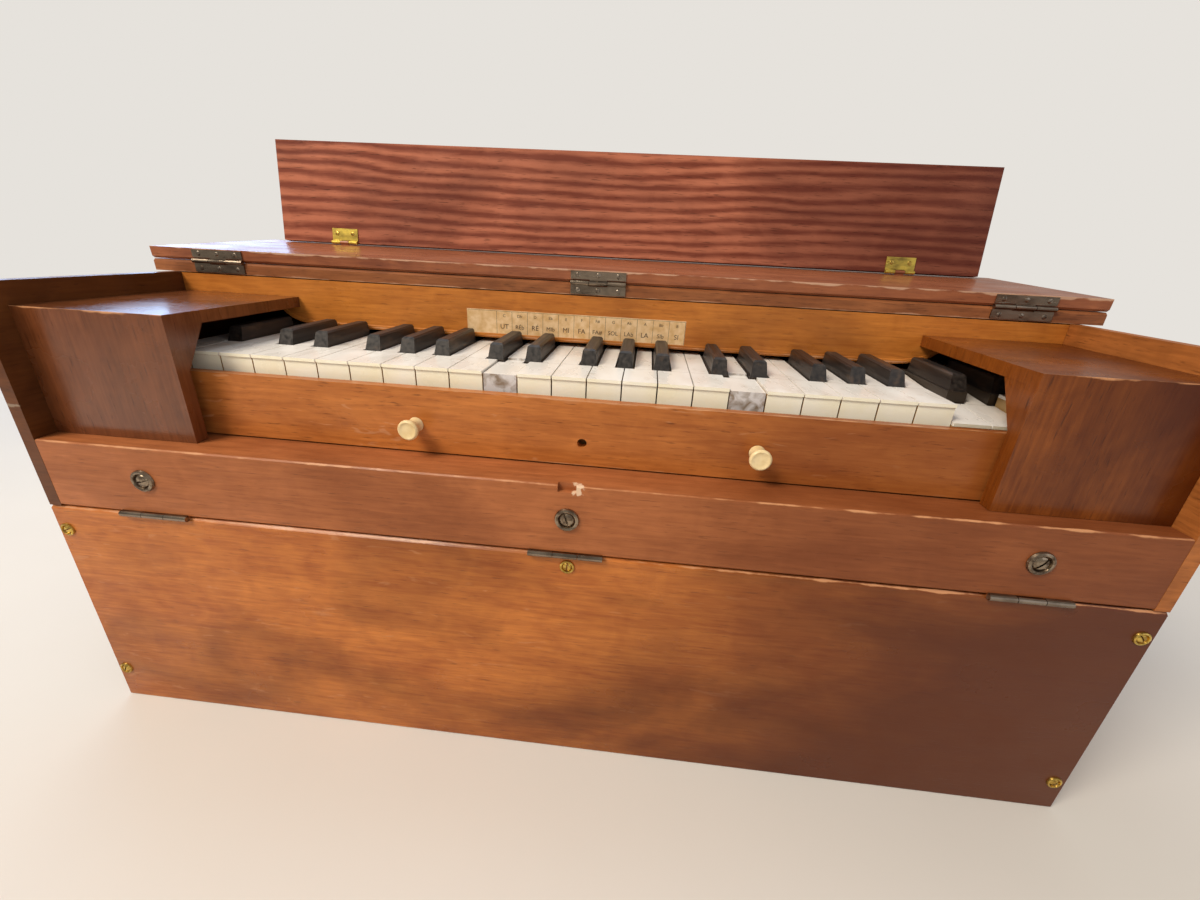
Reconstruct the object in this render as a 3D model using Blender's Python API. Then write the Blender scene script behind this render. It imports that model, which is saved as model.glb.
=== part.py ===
"""Portable reed organ with its lid folded back, one object for each physical piece.

X runs to the right, Y to the back and Z up, in metres. The origin is the middle of the
case's footprint. Depths are counted from the face of the front panel, so every piece that
stands by itself is set back by half of the case's depth.
"""
import math

import bmesh
import bpy
from mathutils import Vector

# Clearances
SEAT = 0.0003                 # between pieces that touch
RUN = 0.0010                  # between pieces that pass each other

# Keyboard
KEY_PITCH = 0.0235            # one natural to the next
NATURALS = 26                 # from A up to E
KEY_GAP = 0.0009              # between two naturals
TAIL_GAP = 0.0010             # between a tail and a sharp
HEAD_LENGTH = 0.0365          # natural's full-width front
SHARP_LENGTH = 0.0630
SHARP_BASE = 0.0120
SHARP_TOP = 0.0090
SHARP_RISE = 0.0115           # above the naturals
KEY_HEIGHT = 0.0190
KEY_LENGTH = 0.2420
KEY_FRONT = 0.0430
KEYS_OVER_RAIL = 0.0586       # their tops above the rail's
COVER = 0.0022                # ivory on a natural
COVER_LIP = 0.0010            # its overhang at the front
CHIPPED_STEP = 0.0016         # wood bared where the front cover is lost
CHIPPED_LENGTH = 0.0450
PIVOT_FROM_FRONT = 0.1320
MORTISE_HALF_WIDTH = 0.0018
MORTISE_HALF_LENGTH = 0.0035
FALLEN_ANGLE = math.radians(5.0)
FALLEN = (23, 24)
CHIPPED = (10, 17)

# Carriage that carries the keys and slides sideways to transpose
CARRIAGE_SIDE = 0.0069        # past the last key
CARRIAGE_BASE = 0.0100
CARRIAGE_SET_BACK = 0.0020    # its front member stands this far in front of the keys
CARRIAGE_BACK_RAIL = 0.0230
BALANCE_RAIL = 0.0240
BALANCE_FLAT = 0.0060
BALANCE_SLOPE = 0.0020
FRONT_MEMBER_HEIGHT = 0.0268
FRONT_MEMBER_DEPTH = 0.0340
CARRIAGE_BAYS = 6
BAY_BAR = 0.0200
PIN_RADIUS = 0.0015
PIN_SIDES = 8
PIN_ABOVE_KEY = 0.0020
STEPS_LEFT = 4                # semitones that the carriage can be pushed
STEPS_RIGHT = 3
CARRIAGE_PARK = 0.0049        # where it stands, right of the middle
CARRIAGE_SPARE = 0.0057       # free space past the last step

# Slip in front of the keys
SLIP_THICKNESS = 0.0070
SLIP_HEIGHT = 0.0452
SLIP_FRONT = 0.0298
SLIP_YAW = math.radians(-0.62)
SLIP_HOLE_RADIUS = 0.0033
SLIP_HOLE_FROM_TOP = 0.0293
KNOB_SPACING = 0.2290
KNOB_RADIUS = 0.0070
KNOB_LENGTH = 0.0135
KNOB_FROM_TOP = 0.0255
KNOB_SIDES = 24

# Case
WALL = 0.0090
CASE_DEPTH = 0.3300
CASE_HEIGHT = 0.3380
BOTTOM_BOARD = 0.0100
BACK_BOARD = 0.0090

# Front panel and rail
PANEL_THICKNESS = 0.0110
PANEL_FLOOR = 0.0008
RAIL_UNDER_TOP = 0.1016       # its top below the case's
RAIL_HEIGHT = 0.0511
RAIL_WEB = 0.0200
RAIL_FLANGE = 0.0120
RAIL_DEPTH = 0.0450
RAIL_ARRIS = 0.0010
JOINT_GAP = 0.0008
ARRIS = 0.0018                # chamfer beside a hinge barrel
CATCH_WIDTH = 0.0120
CATCH_REACH = 0.0045
CATCH_DEPTH = 0.0050
PANEL_HINGE_SPACING = 0.2930
PANEL_HINGE_WIDTH = 0.0500
PANEL_BARREL = 0.0021
PANEL_AXIS_FORWARD = 0.0016
HINGE_PLAY = 0.0004           # between knuckles
BARREL_SIDES = 12

# Cheeks beside the keys
CHEEK_FRONT = 0.0148
CHEEK_BOARD = 0.0097
CHEEK_INNER = 0.2610
CHEEK_HEIGHT = 0.0778
CHEEK_CAP = 0.0084
CORBEL_REACH = 0.0185
CORBEL_DROP = 0.0305
CORBEL_WIDTH = 0.0120

# Nameboard over the keys
NAMEBOARD_FACE = 0.1456
NAMEBOARD_THICKNESS = 0.0090
NAMEBOARD_OVER_KEYS = 0.0040
LOBE_START = 0.2400
LOBE_WIDTH = 0.0385
LOBE_STEPS = 8
BEAD_RADIUS = 0.0026
BEAD_PROUD = 0.0008
BEAD_SIDES = 8

# Top and lid
LID_OVERHANG = 0.0140
TOP_THICKNESS = 0.0095
TOP_BACK_OVERHANG = 0.0140
LEAF_DEPTH = 0.1544
LEAF_THICKNESS = 0.0095
LID_HINGE_SPACING = 0.3280
LID_HINGE_WIDTH = 0.0450
LID_BARREL = 0.0019
LID_AXIS_FORWARD = 0.0016
LID_REST = math.radians(2.7)
PLATE_PROUD = 0.0010
PLATE_BITE = 0.0006
PLATE_FROM_JOINT = 0.0026
PLATE_HEIGHT = 0.0064
GROOVE_LENGTH = 0.2945
GROOVE_WIDTH = 0.0015
GROOVE_DEPTH = 0.0010
GROOVE_FROM_FRONT = 0.0120

# Flap hinged to the lid
FLAP_WIDTH = 0.7240
FLAP_SHIFT = 0.0030
FLAP_HEIGHT = 0.0975
FLAP_THICKNESS = 0.0095
FLAP_AXIS_IN = 0.0251         # in from the leaf's far edge
FLAP_AXIS_UP = 0.0026
FLAP_SET = 0.0022             # face behind the axis
FLAP_LEAN = math.radians(10.1)
FLAP_BARREL = 0.0018
FLAP_HINGE_SPACING = 0.2890
FLAP_HINGE_WIDTH = 0.0280
FLAP_PLATE_HEIGHT = 0.0118

# Reed pan
PAN_THICKNESS = 0.0181
PAN_SLOTS = 51
SLOT_WIDTH = 0.0060
SLOT_LENGTH = 0.0600
SLOT_FROM_FRONT = 0.0900

# Bellows and pump
BELLOWS_HALF_WIDTH = 0.3250
BELLOWS_FOLD = 0.0120
BELLOWS_RIBS = 6
BELLOWS_FRONT = 0.0500
BELLOWS_APEX = 0.0211         # in front of its first rib
BELLOWS_DEPTH = 0.2440
BOARD_THICKNESS = 0.0100
BOARD_DEPTH = 0.2500
BELLOWS_LOW = 0.0579          # where the open board's line meets the case's back
LEVER_X = -0.2500
LEVER_WIDTH = 0.0160
LEVER_HEIGHT = 0.0120
LEVER_REACH = 0.3800          # from the pivot
LEVER_BITE = 0.0600
LEVER_SLOT_SIDE = 0.0040
LEVER_SLOT_LOW = 0.0280
LEVER_SLOT_UNDER_AXIS = 0.0061

# Worked out from the sizes above
SEMITONE = KEY_PITCH * 7 / 12
KEYS_WIDTH = KEY_PITCH * NATURALS
CARRIAGE_WIDTH = KEYS_WIDTH + 2 * CARRIAGE_SIDE
INNER = (CARRIAGE_WIDTH + (STEPS_LEFT + STEPS_RIGHT) * SEMITONE) / 2 + CARRIAGE_SPARE
HALF_WIDTH = INNER + WALL
FITTED = INNER - SEAT
KEYS_LEFT = CARRIAGE_PARK - KEYS_WIDTH / 2
RAIL_TOP = CASE_HEIGHT - RAIL_UNDER_TOP
RAIL_BOTTOM = RAIL_TOP - RAIL_HEIGHT
PANEL_HEIGHT = RAIL_BOTTOM - JOINT_GAP - PANEL_FLOOR
JOINT_Z = RAIL_BOTTOM - JOINT_GAP / 2 + 0.0001
KEY_TOP = RAIL_TOP + KEYS_OVER_RAIL
KEY_BOTTOM = KEY_TOP - KEY_HEIGHT
KEY_BACK = KEY_FRONT + KEY_LENGTH
HEAD_BACK = KEY_FRONT + HEAD_LENGTH
PIVOT_Y = KEY_FRONT + PIVOT_FROM_FRONT
CARRIAGE_FLOOR = RAIL_TOP + SEAT
PAN_TOP = RAIL_TOP - SEAT
PAN_BOTTOM = PAN_TOP - PAN_THICKNESS
CHEEK_CAP_LOW = CARRIAGE_FLOOR + CHEEK_HEIGHT
NAMEBOARD_LOW = KEY_TOP + NAMEBOARD_OVER_KEYS
TOP_LOW = CASE_HEIGHT + SEAT
TOP_HIGH = TOP_LOW + TOP_THICKNESS
LEAF_LOW = TOP_HIGH + 0.0004
LEAF_HIGH = LEAF_LOW + LEAF_THICKNESS
LID_AXIS = Vector((0, NAMEBOARD_FACE - LID_AXIS_FORWARD, (TOP_HIGH + LEAF_LOW) / 2))
LID_HALF = HALF_WIDTH + LID_OVERHANG
FLAP_AXIS = Vector((0, NAMEBOARD_FACE + LEAF_DEPTH - FLAP_AXIS_IN, LEAF_HIGH + FLAP_AXIS_UP))
PANEL_AXIS = Vector((0, -PANEL_AXIS_FORWARD, JOINT_Z))
PUMP_OPEN = math.atan2(PAN_BOTTOM - BELLOWS_LOW, CASE_DEPTH - BELLOWS_FRONT + BELLOWS_APEX)
BOARD_DROP = SEAT + BELLOWS_APEX * math.tan(PUMP_OPEN) + SEAT / math.cos(PUMP_OPEN)
PUMP_AXIS = Vector((0, BELLOWS_FRONT, PAN_BOTTOM - BOARD_DROP))
SETBACK = Vector((0, -CASE_DEPTH / 2, 0))
OCTAVE = "C C# D D# E F F# G G# A A# B".split()


def material(name, colour, roughness, metallic=0.0):
    """A plain surface in linear colour."""
    surface = bpy.data.materials.get(name) or bpy.data.materials.new(name)
    surface.use_nodes = True
    shader = surface.node_tree.nodes["Principled BSDF"]
    shader.inputs["Base Color"].default_value = (*colour, 1.0)
    shader.inputs["Roughness"].default_value = roughness
    shader.inputs["Metallic"].default_value = metallic
    surface.diffuse_color = (*colour, 1.0)
    return surface


def add_skin(bm, loops):
    """One closed shell: each loop is a list of matching rings, the first loop the outside."""
    ends = ([], [])
    for rings in loops:
        rows = [[bm.verts.new(point) for point in ring] for ring in rings]
        for low, high in zip(rows, rows[1:]):
            for i, vert in enumerate(low):
                j = (i + 1) % len(low)
                bm.faces.new((vert, low[j], high[j], high[i]))
        for edges, row in zip(ends, (rows[0], rows[-1])):
            edges.extend(bm.edges.get((v, row[(i + 1) % len(row)])) for i, v in enumerate(row))
        if len(loops) == 1:
            bm.faces.new(rows[0])
            bm.faces.new(rows[-1])
    if len(loops) > 1:
        for edges in ends:
            bmesh.ops.triangle_fill(bm, use_beauty=True, use_dissolve=False, edges=edges)


def lift(outline, axis, t):
    """The outline's points at t along an axis."""
    if axis == "X":
        return [(t, u, v) for u, v in outline]
    if axis == "Y":
        return [(u, t, v) for u, v in outline]
    return [(u, v, t) for u, v in outline]


def add_prism(bm, outline, axis, low, high, holes=()):
    """An outline pushed along an axis, with any holes right through it."""
    shapes = [outline, *holes]
    add_skin(bm, [[lift(shape, axis, low), lift(shape, axis, high)] for shape in shapes])


def rectangle(u0, u1, v0, v1):
    """Corners of an upright rectangle."""
    return [(u0, v0), (u1, v0), (u1, v1), (u0, v1)]


def circle(u, v, radius, sides):
    """Points round a circle, a flat side down."""
    turn = [2 * math.pi * (i + 0.5) / sides for i in range(sides)]
    return [(u + radius * math.cos(a), v + radius * math.sin(a)) for a in turn]


def add_block(bm, x0, x1, y0, y1, z0, z1):
    """A box between two corners."""
    add_prism(bm, rectangle(x0, x1, y0, y1), "Z", z0, z1)


def build(name, bm, surface, pivot=None, parent=None):
    """The object that holds a bmesh, with its origin on the pivot or under a parent empty."""
    bmesh.ops.recalc_face_normals(bm, faces=bm.faces)
    if pivot is not None:
        bmesh.ops.translate(bm, verts=bm.verts, vec=-Vector(pivot))
    mesh = bpy.data.meshes.new(name)
    bm.to_mesh(mesh)
    bm.free()
    obj = bpy.data.objects.new(name, mesh)
    bpy.context.scene.collection.objects.link(obj)
    mesh.materials.append(surface)
    if parent is not None:
        obj.parent = parent
        obj.location = -Vector(parent["axis_point"])
    else:
        obj.location = SETBACK + (Vector(pivot) if pivot is not None else Vector())
    return obj


def axis_empty(name, point, angle, parent=None, euler_index=0):
    """An empty on a joint's axis, turned by the angle at which the piece stands."""
    empty = bpy.data.objects.new(name, None)
    bpy.context.scene.collection.objects.link(empty)
    empty["axis_point"] = list(point)
    if parent is None:
        empty.location = SETBACK + Vector(point)
    else:
        empty.parent = parent
        empty.location = Vector(point) - Vector(parent["axis_point"])
    empty.rotation_euler[euler_index] = angle
    return empty


def combine(target, operation, label, bm, parent=None):
    """Adds or cuts one hidden shape."""
    tool = build(f"{target.name}.{label}", bm, target.data.materials[0], parent=parent)
    tool.hide_render = True
    tool.display_type = "WIRE"
    change = target.modifiers.new(label, "BOOLEAN")
    change.operation = operation
    change.solver = "EXACT"
    change.object = tool


def smooth(obj, angle=35.0):
    """Smooth shading that keeps the sharp edges."""
    obj.data.shade_smooth()
    obj.data.set_sharp_from_angle(angle=math.radians(angle))


def knuckle_spans(centre, width, middle):
    """The X ranges of a hinge's middle knuckle, or of its two outer ones."""
    third = width / 6
    if middle:
        return [(centre - third + HINGE_PLAY / 2, centre + third - HINGE_PLAY / 2)]
    half = width / 2
    return [(centre - half, centre - third - HINGE_PLAY / 2),
            (centre + third + HINGE_PLAY / 2, centre + half)]


def add_hinge(target, label, centres, width, axis, radius, middle, web, plate=None, parent=None):
    """Unites one half of a row of hinges with its board: knuckles, webs and any plates."""
    knuckles = bmesh.new()
    webs = bmesh.new()
    for centre in centres:
        for x0, x1 in knuckle_spans(centre, width, middle):
            ring = circle(axis[1], axis[2], radius, BARREL_SIDES)
            add_prism(knuckles, ring, "X", x0, x1)
            inset = HINGE_PLAY / 2
            add_block(webs, x0 + inset, x1 - inset, *web)
    if plate is not None:
        plates = bmesh.new()
        for centre in centres:
            add_block(plates, centre - width / 2, centre + width / 2, *plate)
        combine(target, "UNION", f"{label}_plates", plates, parent)
    combine(target, "UNION", f"{label}_webs", webs, parent)
    combine(target, "UNION", f"{label}_knuckles", knuckles, parent)


def carcass(wood):
    """Sides, bottom and back, glued up as one box that is open in front and on top."""
    bm = bmesh.new()
    add_block(bm, -HALF_WIDTH, HALF_WIDTH, 0, CASE_DEPTH, 0, CASE_HEIGHT)
    case = build("carcass", bm, wood)
    room = bmesh.new()
    add_block(room, -INNER, INNER, -0.1, CASE_DEPTH - BACK_BOARD, BOTTOM_BOARD, CASE_HEIGHT + 0.1)
    combine(case, "DIFFERENCE", "room", room)
    rebate = bmesh.new()
    back = PANEL_THICKNESS + SEAT
    add_block(rebate, -1, 1, -0.1, back, -0.1, RAIL_BOTTOM)
    combine(case, "DIFFERENCE", "rebate", rebate)
    slot = bmesh.new()
    side = LEVER_WIDTH / 2 + LEVER_SLOT_SIDE
    add_block(slot, LEVER_X - side, LEVER_X + side, CASE_DEPTH - 0.05, CASE_DEPTH + 0.1,
              LEVER_SLOT_LOW, PUMP_AXIS.z - LEVER_SLOT_UNDER_AXIS)
    combine(case, "DIFFERENCE", "slot", slot)


def front(wood_rail, wood_panel):
    """The rail under the keys, and the panel that hangs from it on three hinges."""
    centres = (-PANEL_HINGE_SPACING, 0.0, PANEL_HINGE_SPACING)
    bm = bmesh.new()
    outline = [(ARRIS, RAIL_BOTTOM), (RAIL_WEB, RAIL_BOTTOM), (RAIL_WEB, RAIL_TOP - RAIL_FLANGE),
               (RAIL_DEPTH, RAIL_TOP - RAIL_FLANGE), (RAIL_DEPTH, RAIL_TOP), (RAIL_ARRIS, RAIL_TOP),
               (0, RAIL_TOP - RAIL_ARRIS), (0, RAIL_BOTTOM + ARRIS)]
    add_prism(bm, outline, "X", -FITTED, FITTED)
    rail = build("front_rail", bm, wood_rail)
    catch = bmesh.new()
    add_block(catch, -CATCH_WIDTH / 2, CATCH_WIDTH / 2, -0.01, CATCH_REACH,
              RAIL_TOP - CATCH_DEPTH, RAIL_TOP + 0.01)
    combine(rail, "DIFFERENCE", "catch", catch)
    web = (-PANEL_AXIS_FORWARD + 0.0004, ARRIS + 0.0017, JOINT_Z + 0.0006, JOINT_Z + 0.0022)
    add_hinge(rail, "hinge", centres, PANEL_HINGE_WIDTH, PANEL_AXIS, PANEL_BARREL, False, web)

    swing = axis_empty("panel_axis", PANEL_AXIS, 0.0)
    bm = bmesh.new()
    top = PANEL_FLOOR + PANEL_HEIGHT
    outline = [(0, PANEL_FLOOR), (PANEL_THICKNESS, PANEL_FLOOR), (PANEL_THICKNESS, top),
               (ARRIS, top), (0, top - ARRIS)]
    add_prism(bm, outline, "X", -HALF_WIDTH, HALF_WIDTH)
    panel = build("front_panel", bm, wood_panel, parent=swing)
    web = (-PANEL_AXIS_FORWARD + 0.0004, ARRIS + 0.0017, JOINT_Z - 0.0022, JOINT_Z - 0.0006)
    add_hinge(panel, "hinge", centres, PANEL_HINGE_WIDTH, PANEL_AXIS, PANEL_BARREL, True, web,
              parent=swing)


def cheek(name, side, wood):
    """A board beside the keys, its cap and the small bracket under the cap's inner end."""
    back = CHEEK_FRONT + CHEEK_BOARD
    cap_back = NAMEBOARD_FACE - SEAT
    cap_top = CHEEK_CAP_LOW + CHEEK_CAP
    outline = [(CHEEK_FRONT, CARRIAGE_FLOOR), (back, CARRIAGE_FLOOR), (back, CHEEK_CAP_LOW),
               (cap_back, CHEEK_CAP_LOW), (cap_back, cap_top), (CHEEK_FRONT, cap_top)]
    low, high = sorted((side * CHEEK_INNER, side * FITTED))
    bm = bmesh.new()
    add_prism(bm, outline, "X", low, high)
    board = build(name, bm, wood)
    bite = 0.0005
    bracket = bmesh.new()
    triangle = [(back - bite, CHEEK_CAP_LOW - CORBEL_DROP), (back - bite, CHEEK_CAP_LOW + bite),
                (back + CORBEL_REACH, CHEEK_CAP_LOW + bite), (back + CORBEL_REACH, CHEEK_CAP_LOW - bite)]
    near = side * (CHEEK_INNER + SEAT)
    far = side * (CHEEK_INNER + SEAT + CORBEL_WIDTH)
    add_prism(bracket, triangle, "X", min(near, far), max(near, far))
    combine(board, "UNION", "bracket", bracket)


def lobe_points(inset, end=90.0):
    """The nameboard's lower edge from left to right, drawn in by a distance."""
    rise = CHEEK_CAP_LOW - NAMEBOARD_LOW
    points = []
    for i in range(LOBE_STEPS + 1):
        turn = math.radians(end) * i / LOBE_STEPS
        x = LOBE_START + (LOBE_WIDTH - inset) * math.sin(turn)
        z = CHEEK_CAP_LOW - (rise - inset) * math.cos(turn)
        points.append((x, z))
    return [(-x, z) for x, z in reversed(points)] + points


def nameboard(wood):
    """The board above the keys, cut away at both ends, with a bead along its lower edge."""
    top = CASE_HEIGHT - 0.0005
    outline = [(-FITTED, top), (-FITTED, CHEEK_CAP_LOW), *lobe_points(0.0),
               (FITTED, CHEEK_CAP_LOW), (FITTED, top)]
    bm = bmesh.new()
    add_prism(bm, outline, "Y", NAMEBOARD_FACE, NAMEBOARD_FACE + NAMEBOARD_THICKNESS)
    board = build("nameboard", bm, wood)
    centre_y = NAMEBOARD_FACE - BEAD_PROUD + BEAD_RADIUS
    path = lobe_points(BEAD_RADIUS - 0.0004, 82.0)
    rings = []
    for i, (x, z) in enumerate(path):
        ahead = Vector(path[min(i + 1, len(path) - 1)])
        along = (ahead - Vector(path[max(i - 1, 0)])).normalized()
        across = Vector((-along.y, along.x))
        ring = []
        for u, v in circle(0, 0, BEAD_RADIUS, BEAD_SIDES):
            ring.append((x + across.x * v, centre_y + u, z + across.y * v))
        rings.append(ring)
    bead = bmesh.new()
    add_skin(bead, [rings])
    combine(board, "UNION", "bead", bead)


def lid(wood_top, wood_leaf, wood_flap):
    """The fixed rear top, the leaf folded back on it and the flap that stands on the leaf."""
    centres = (-LID_HINGE_SPACING, 0.0, LID_HINGE_SPACING)
    joint = LID_AXIS.z
    face = NAMEBOARD_FACE
    web_y = (face - PLATE_PROUD + 0.0001, face - 0.0002)
    plate_y = (face - PLATE_PROUD, face + PLATE_BITE)

    bm = bmesh.new()
    back = CASE_DEPTH + TOP_BACK_OVERHANG
    outline = [(face, TOP_LOW), (back, TOP_LOW), (back, TOP_HIGH), (face + ARRIS, TOP_HIGH),
               (face, TOP_HIGH - ARRIS)]
    add_prism(bm, outline, "X", -LID_HALF, LID_HALF)
    top = build("rear_top", bm, wood_top)
    plate = (*plate_y, joint - PLATE_FROM_JOINT - PLATE_HEIGHT, joint - PLATE_FROM_JOINT)
    web = (*web_y, joint - PLATE_FROM_JOINT - 0.0008, joint - 0.0008)
    add_hinge(top, "hinge", centres, LID_HINGE_WIDTH, LID_AXIS, LID_BARREL, False, web, plate)

    swing = axis_empty("lid_axis", LID_AXIS, LID_REST)
    bm = bmesh.new()
    back = face + LEAF_DEPTH
    outline = [(face + ARRIS, LEAF_LOW), (back, LEAF_LOW), (back, LEAF_HIGH), (face, LEAF_HIGH),
               (face, LEAF_LOW + ARRIS)]
    add_prism(bm, outline, "X", -LID_HALF, LID_HALF)
    leaf = build("lid_leaf", bm, wood_leaf, parent=swing)
    groove = bmesh.new()
    middle = face + GROOVE_FROM_FRONT
    add_block(groove, -GROOVE_LENGTH / 2, GROOVE_LENGTH / 2, middle - GROOVE_WIDTH / 2,
              middle + GROOVE_WIDTH / 2, LEAF_HIGH - GROOVE_DEPTH, LEAF_HIGH + 0.01)
    combine(leaf, "DIFFERENCE", "groove", groove, swing)
    plate = (*plate_y, joint + PLATE_FROM_JOINT, joint + PLATE_FROM_JOINT + PLATE_HEIGHT)
    web = (*web_y, joint + 0.0008, joint + PLATE_FROM_JOINT + 0.0008)
    add_hinge(leaf, "hinge", centres, LID_HINGE_WIDTH, LID_AXIS, LID_BARREL, True, web, plate, swing)

    flap_centres = (-FLAP_HINGE_SPACING, FLAP_HINGE_SPACING)
    y, z = FLAP_AXIS.y, FLAP_AXIS.z
    web = (y - 0.0007, y + 0.0007, LEAF_HIGH - 0.0008, z - 0.0006)
    add_hinge(leaf, "flap_hinge", flap_centres, FLAP_HINGE_WIDTH, FLAP_AXIS, FLAP_BARREL, True, web,
              parent=swing)

    fold = axis_empty("flap_axis", FLAP_AXIS, -FLAP_LEAN, swing)
    bm = bmesh.new()
    add_block(bm, FLAP_SHIFT - FLAP_WIDTH / 2, FLAP_SHIFT + FLAP_WIDTH / 2,
              y + FLAP_SET, y + FLAP_SET + FLAP_THICKNESS, z, z + FLAP_HEIGHT)
    flap = build("lid_flap", bm, wood_flap, parent=fold)
    plate = (y + FLAP_SET - PLATE_PROUD, y + FLAP_SET + PLATE_BITE, z + 0.0024,
             z + 0.0024 + FLAP_PLATE_HEIGHT)
    web = (y + FLAP_SET - PLATE_PROUD + 0.0001, y + FLAP_SET - 0.0002, z + 0.0004, z + 0.0032)
    add_hinge(flap, "hinge", flap_centres, FLAP_HINGE_WIDTH, FLAP_AXIS, FLAP_BARREL, False, web, plate,
              fold)


def key_table():
    """Every key in order: its name, whether it is a sharp, its natural's number and its slot."""
    table = []
    natural = 0
    for number in range(44):
        midi = 45 + number
        note = OCTAVE[midi % 12]
        octave = midi // 12 - 1
        name = f"key_{note[0].lower()}{octave}" + ("_sharp" if "#" in note else "")
        step = midi % 12
        octave_left = KEYS_LEFT + (octave - 3) * 7 * KEY_PITCH + 2 * KEY_PITCH
        if step < 5:
            width = 3 * KEY_PITCH / 5
            left = octave_left + step * width
        else:
            width = 4 * KEY_PITCH / 7
            left = octave_left + 3 * KEY_PITCH + (step - 5) * width
        sharp = "#" in note
        table.append((name, sharp, None if sharp else natural, left, left + width))
        natural += 0 if sharp else 1
    return table


def natural_key(name, number, slot_left, slot_right, wood):
    """A natural: a wide head, a narrow tail, a mortise for its pin and a covered lip."""
    left = KEYS_LEFT + number * KEY_PITCH + KEY_GAP / 2
    right = left + KEY_PITCH - KEY_GAP
    tail_left = slot_left + TAIL_GAP / 2
    tail_right = slot_right - TAIL_GAP / 2
    if number == 0 or tail_left < left + KEY_GAP:
        tail_left = left
    if number == NATURALS - 1 or tail_right > right - KEY_GAP:
        tail_right = right
    chipped = number in CHIPPED
    lip = 0.0 if chipped else COVER_LIP
    low = KEY_TOP - COVER - 0.0004
    centre = (tail_left + tail_right) / 2

    def ring(front, z):
        points = [(left, front), (right, front)]
        if tail_right < right:
            points += [(right, HEAD_BACK), (tail_right, HEAD_BACK)]
        points += [(tail_right, KEY_BACK), (tail_left, KEY_BACK)]
        if tail_left > left:
            points.append((tail_left, HEAD_BACK))
            points.append((left, HEAD_BACK))
        return [(x, y, z) for x, y in points]

    levels = [(KEY_FRONT, KEY_BOTTOM), (KEY_FRONT, low), (KEY_FRONT - lip, KEY_TOP - COVER)]
    levels.append((KEY_FRONT - lip, KEY_TOP))
    if chipped:
        levels = [levels[0], levels[-1]]
    hole = rectangle(centre - MORTISE_HALF_WIDTH, centre + MORTISE_HALF_WIDTH,
                     PIVOT_Y - MORTISE_HALF_LENGTH, PIVOT_Y + MORTISE_HALF_LENGTH)
    outside = [ring(front, z) for front, z in levels]
    inside = [[(x, y, z) for x, y in hole] for _, z in levels]
    bm = bmesh.new()
    add_skin(bm, [outside, inside])
    pivot = Vector((centre, PIVOT_Y, KEY_BOTTOM))
    key = build(name, bm, wood, pivot=pivot)
    if chipped:
        bared = bmesh.new()
        add_block(bared, left - 0.01, right + 0.01, KEY_FRONT - 0.01, KEY_FRONT + CHIPPED_LENGTH,
                  KEY_TOP - CHIPPED_STEP, KEY_TOP + 0.01)
        combine(key, "DIFFERENCE", "bared", bared)
    if number in FALLEN:
        key.rotation_euler.x = FALLEN_ANGLE
    return centre


def sharp_key(name, slot_left, slot_right, wood):
    """A sharp: a stick between the tails with a tapered cap on its front."""
    left, right = slot_left + TAIL_GAP / 2, slot_right - TAIL_GAP / 2
    centre = (left + right) / 2
    stick_front = HEAD_BACK + TAIL_GAP + SEAT
    stick_top = KEY_TOP - 0.0005
    hole = rectangle(centre - MORTISE_HALF_WIDTH, centre + MORTISE_HALF_WIDTH,
                     PIVOT_Y - MORTISE_HALF_LENGTH, PIVOT_Y + MORTISE_HALF_LENGTH)
    bm = bmesh.new()
    add_prism(bm, rectangle(left, right, stick_front, KEY_BACK), "Z", KEY_BOTTOM, stick_top, [hole])
    pivot = Vector((centre, PIVOT_Y, KEY_BOTTOM))
    key = build(name, bm, wood, pivot=pivot)
    front, back = stick_front + 0.0002, HEAD_BACK + SHARP_LENGTH
    top = KEY_TOP + SHARP_RISE - 0.0005
    rows = ((stick_top - 0.0010, SHARP_BASE / 2, 0.0), (top - 0.0012, SHARP_TOP / 2 + 0.0003, 0.0042),
            (top, SHARP_TOP / 2 - 0.0010, 0.0060))
    rings = []
    for z, half, slope in rows:
        corners = rectangle(centre - half, centre + half, front + slope, back)
        rings.append([(x, y, z) for x, y in corners])
    cap = bmesh.new()
    add_skin(cap, [rings])
    combine(key, "UNION", "cap", cap)
    return centre


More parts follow.
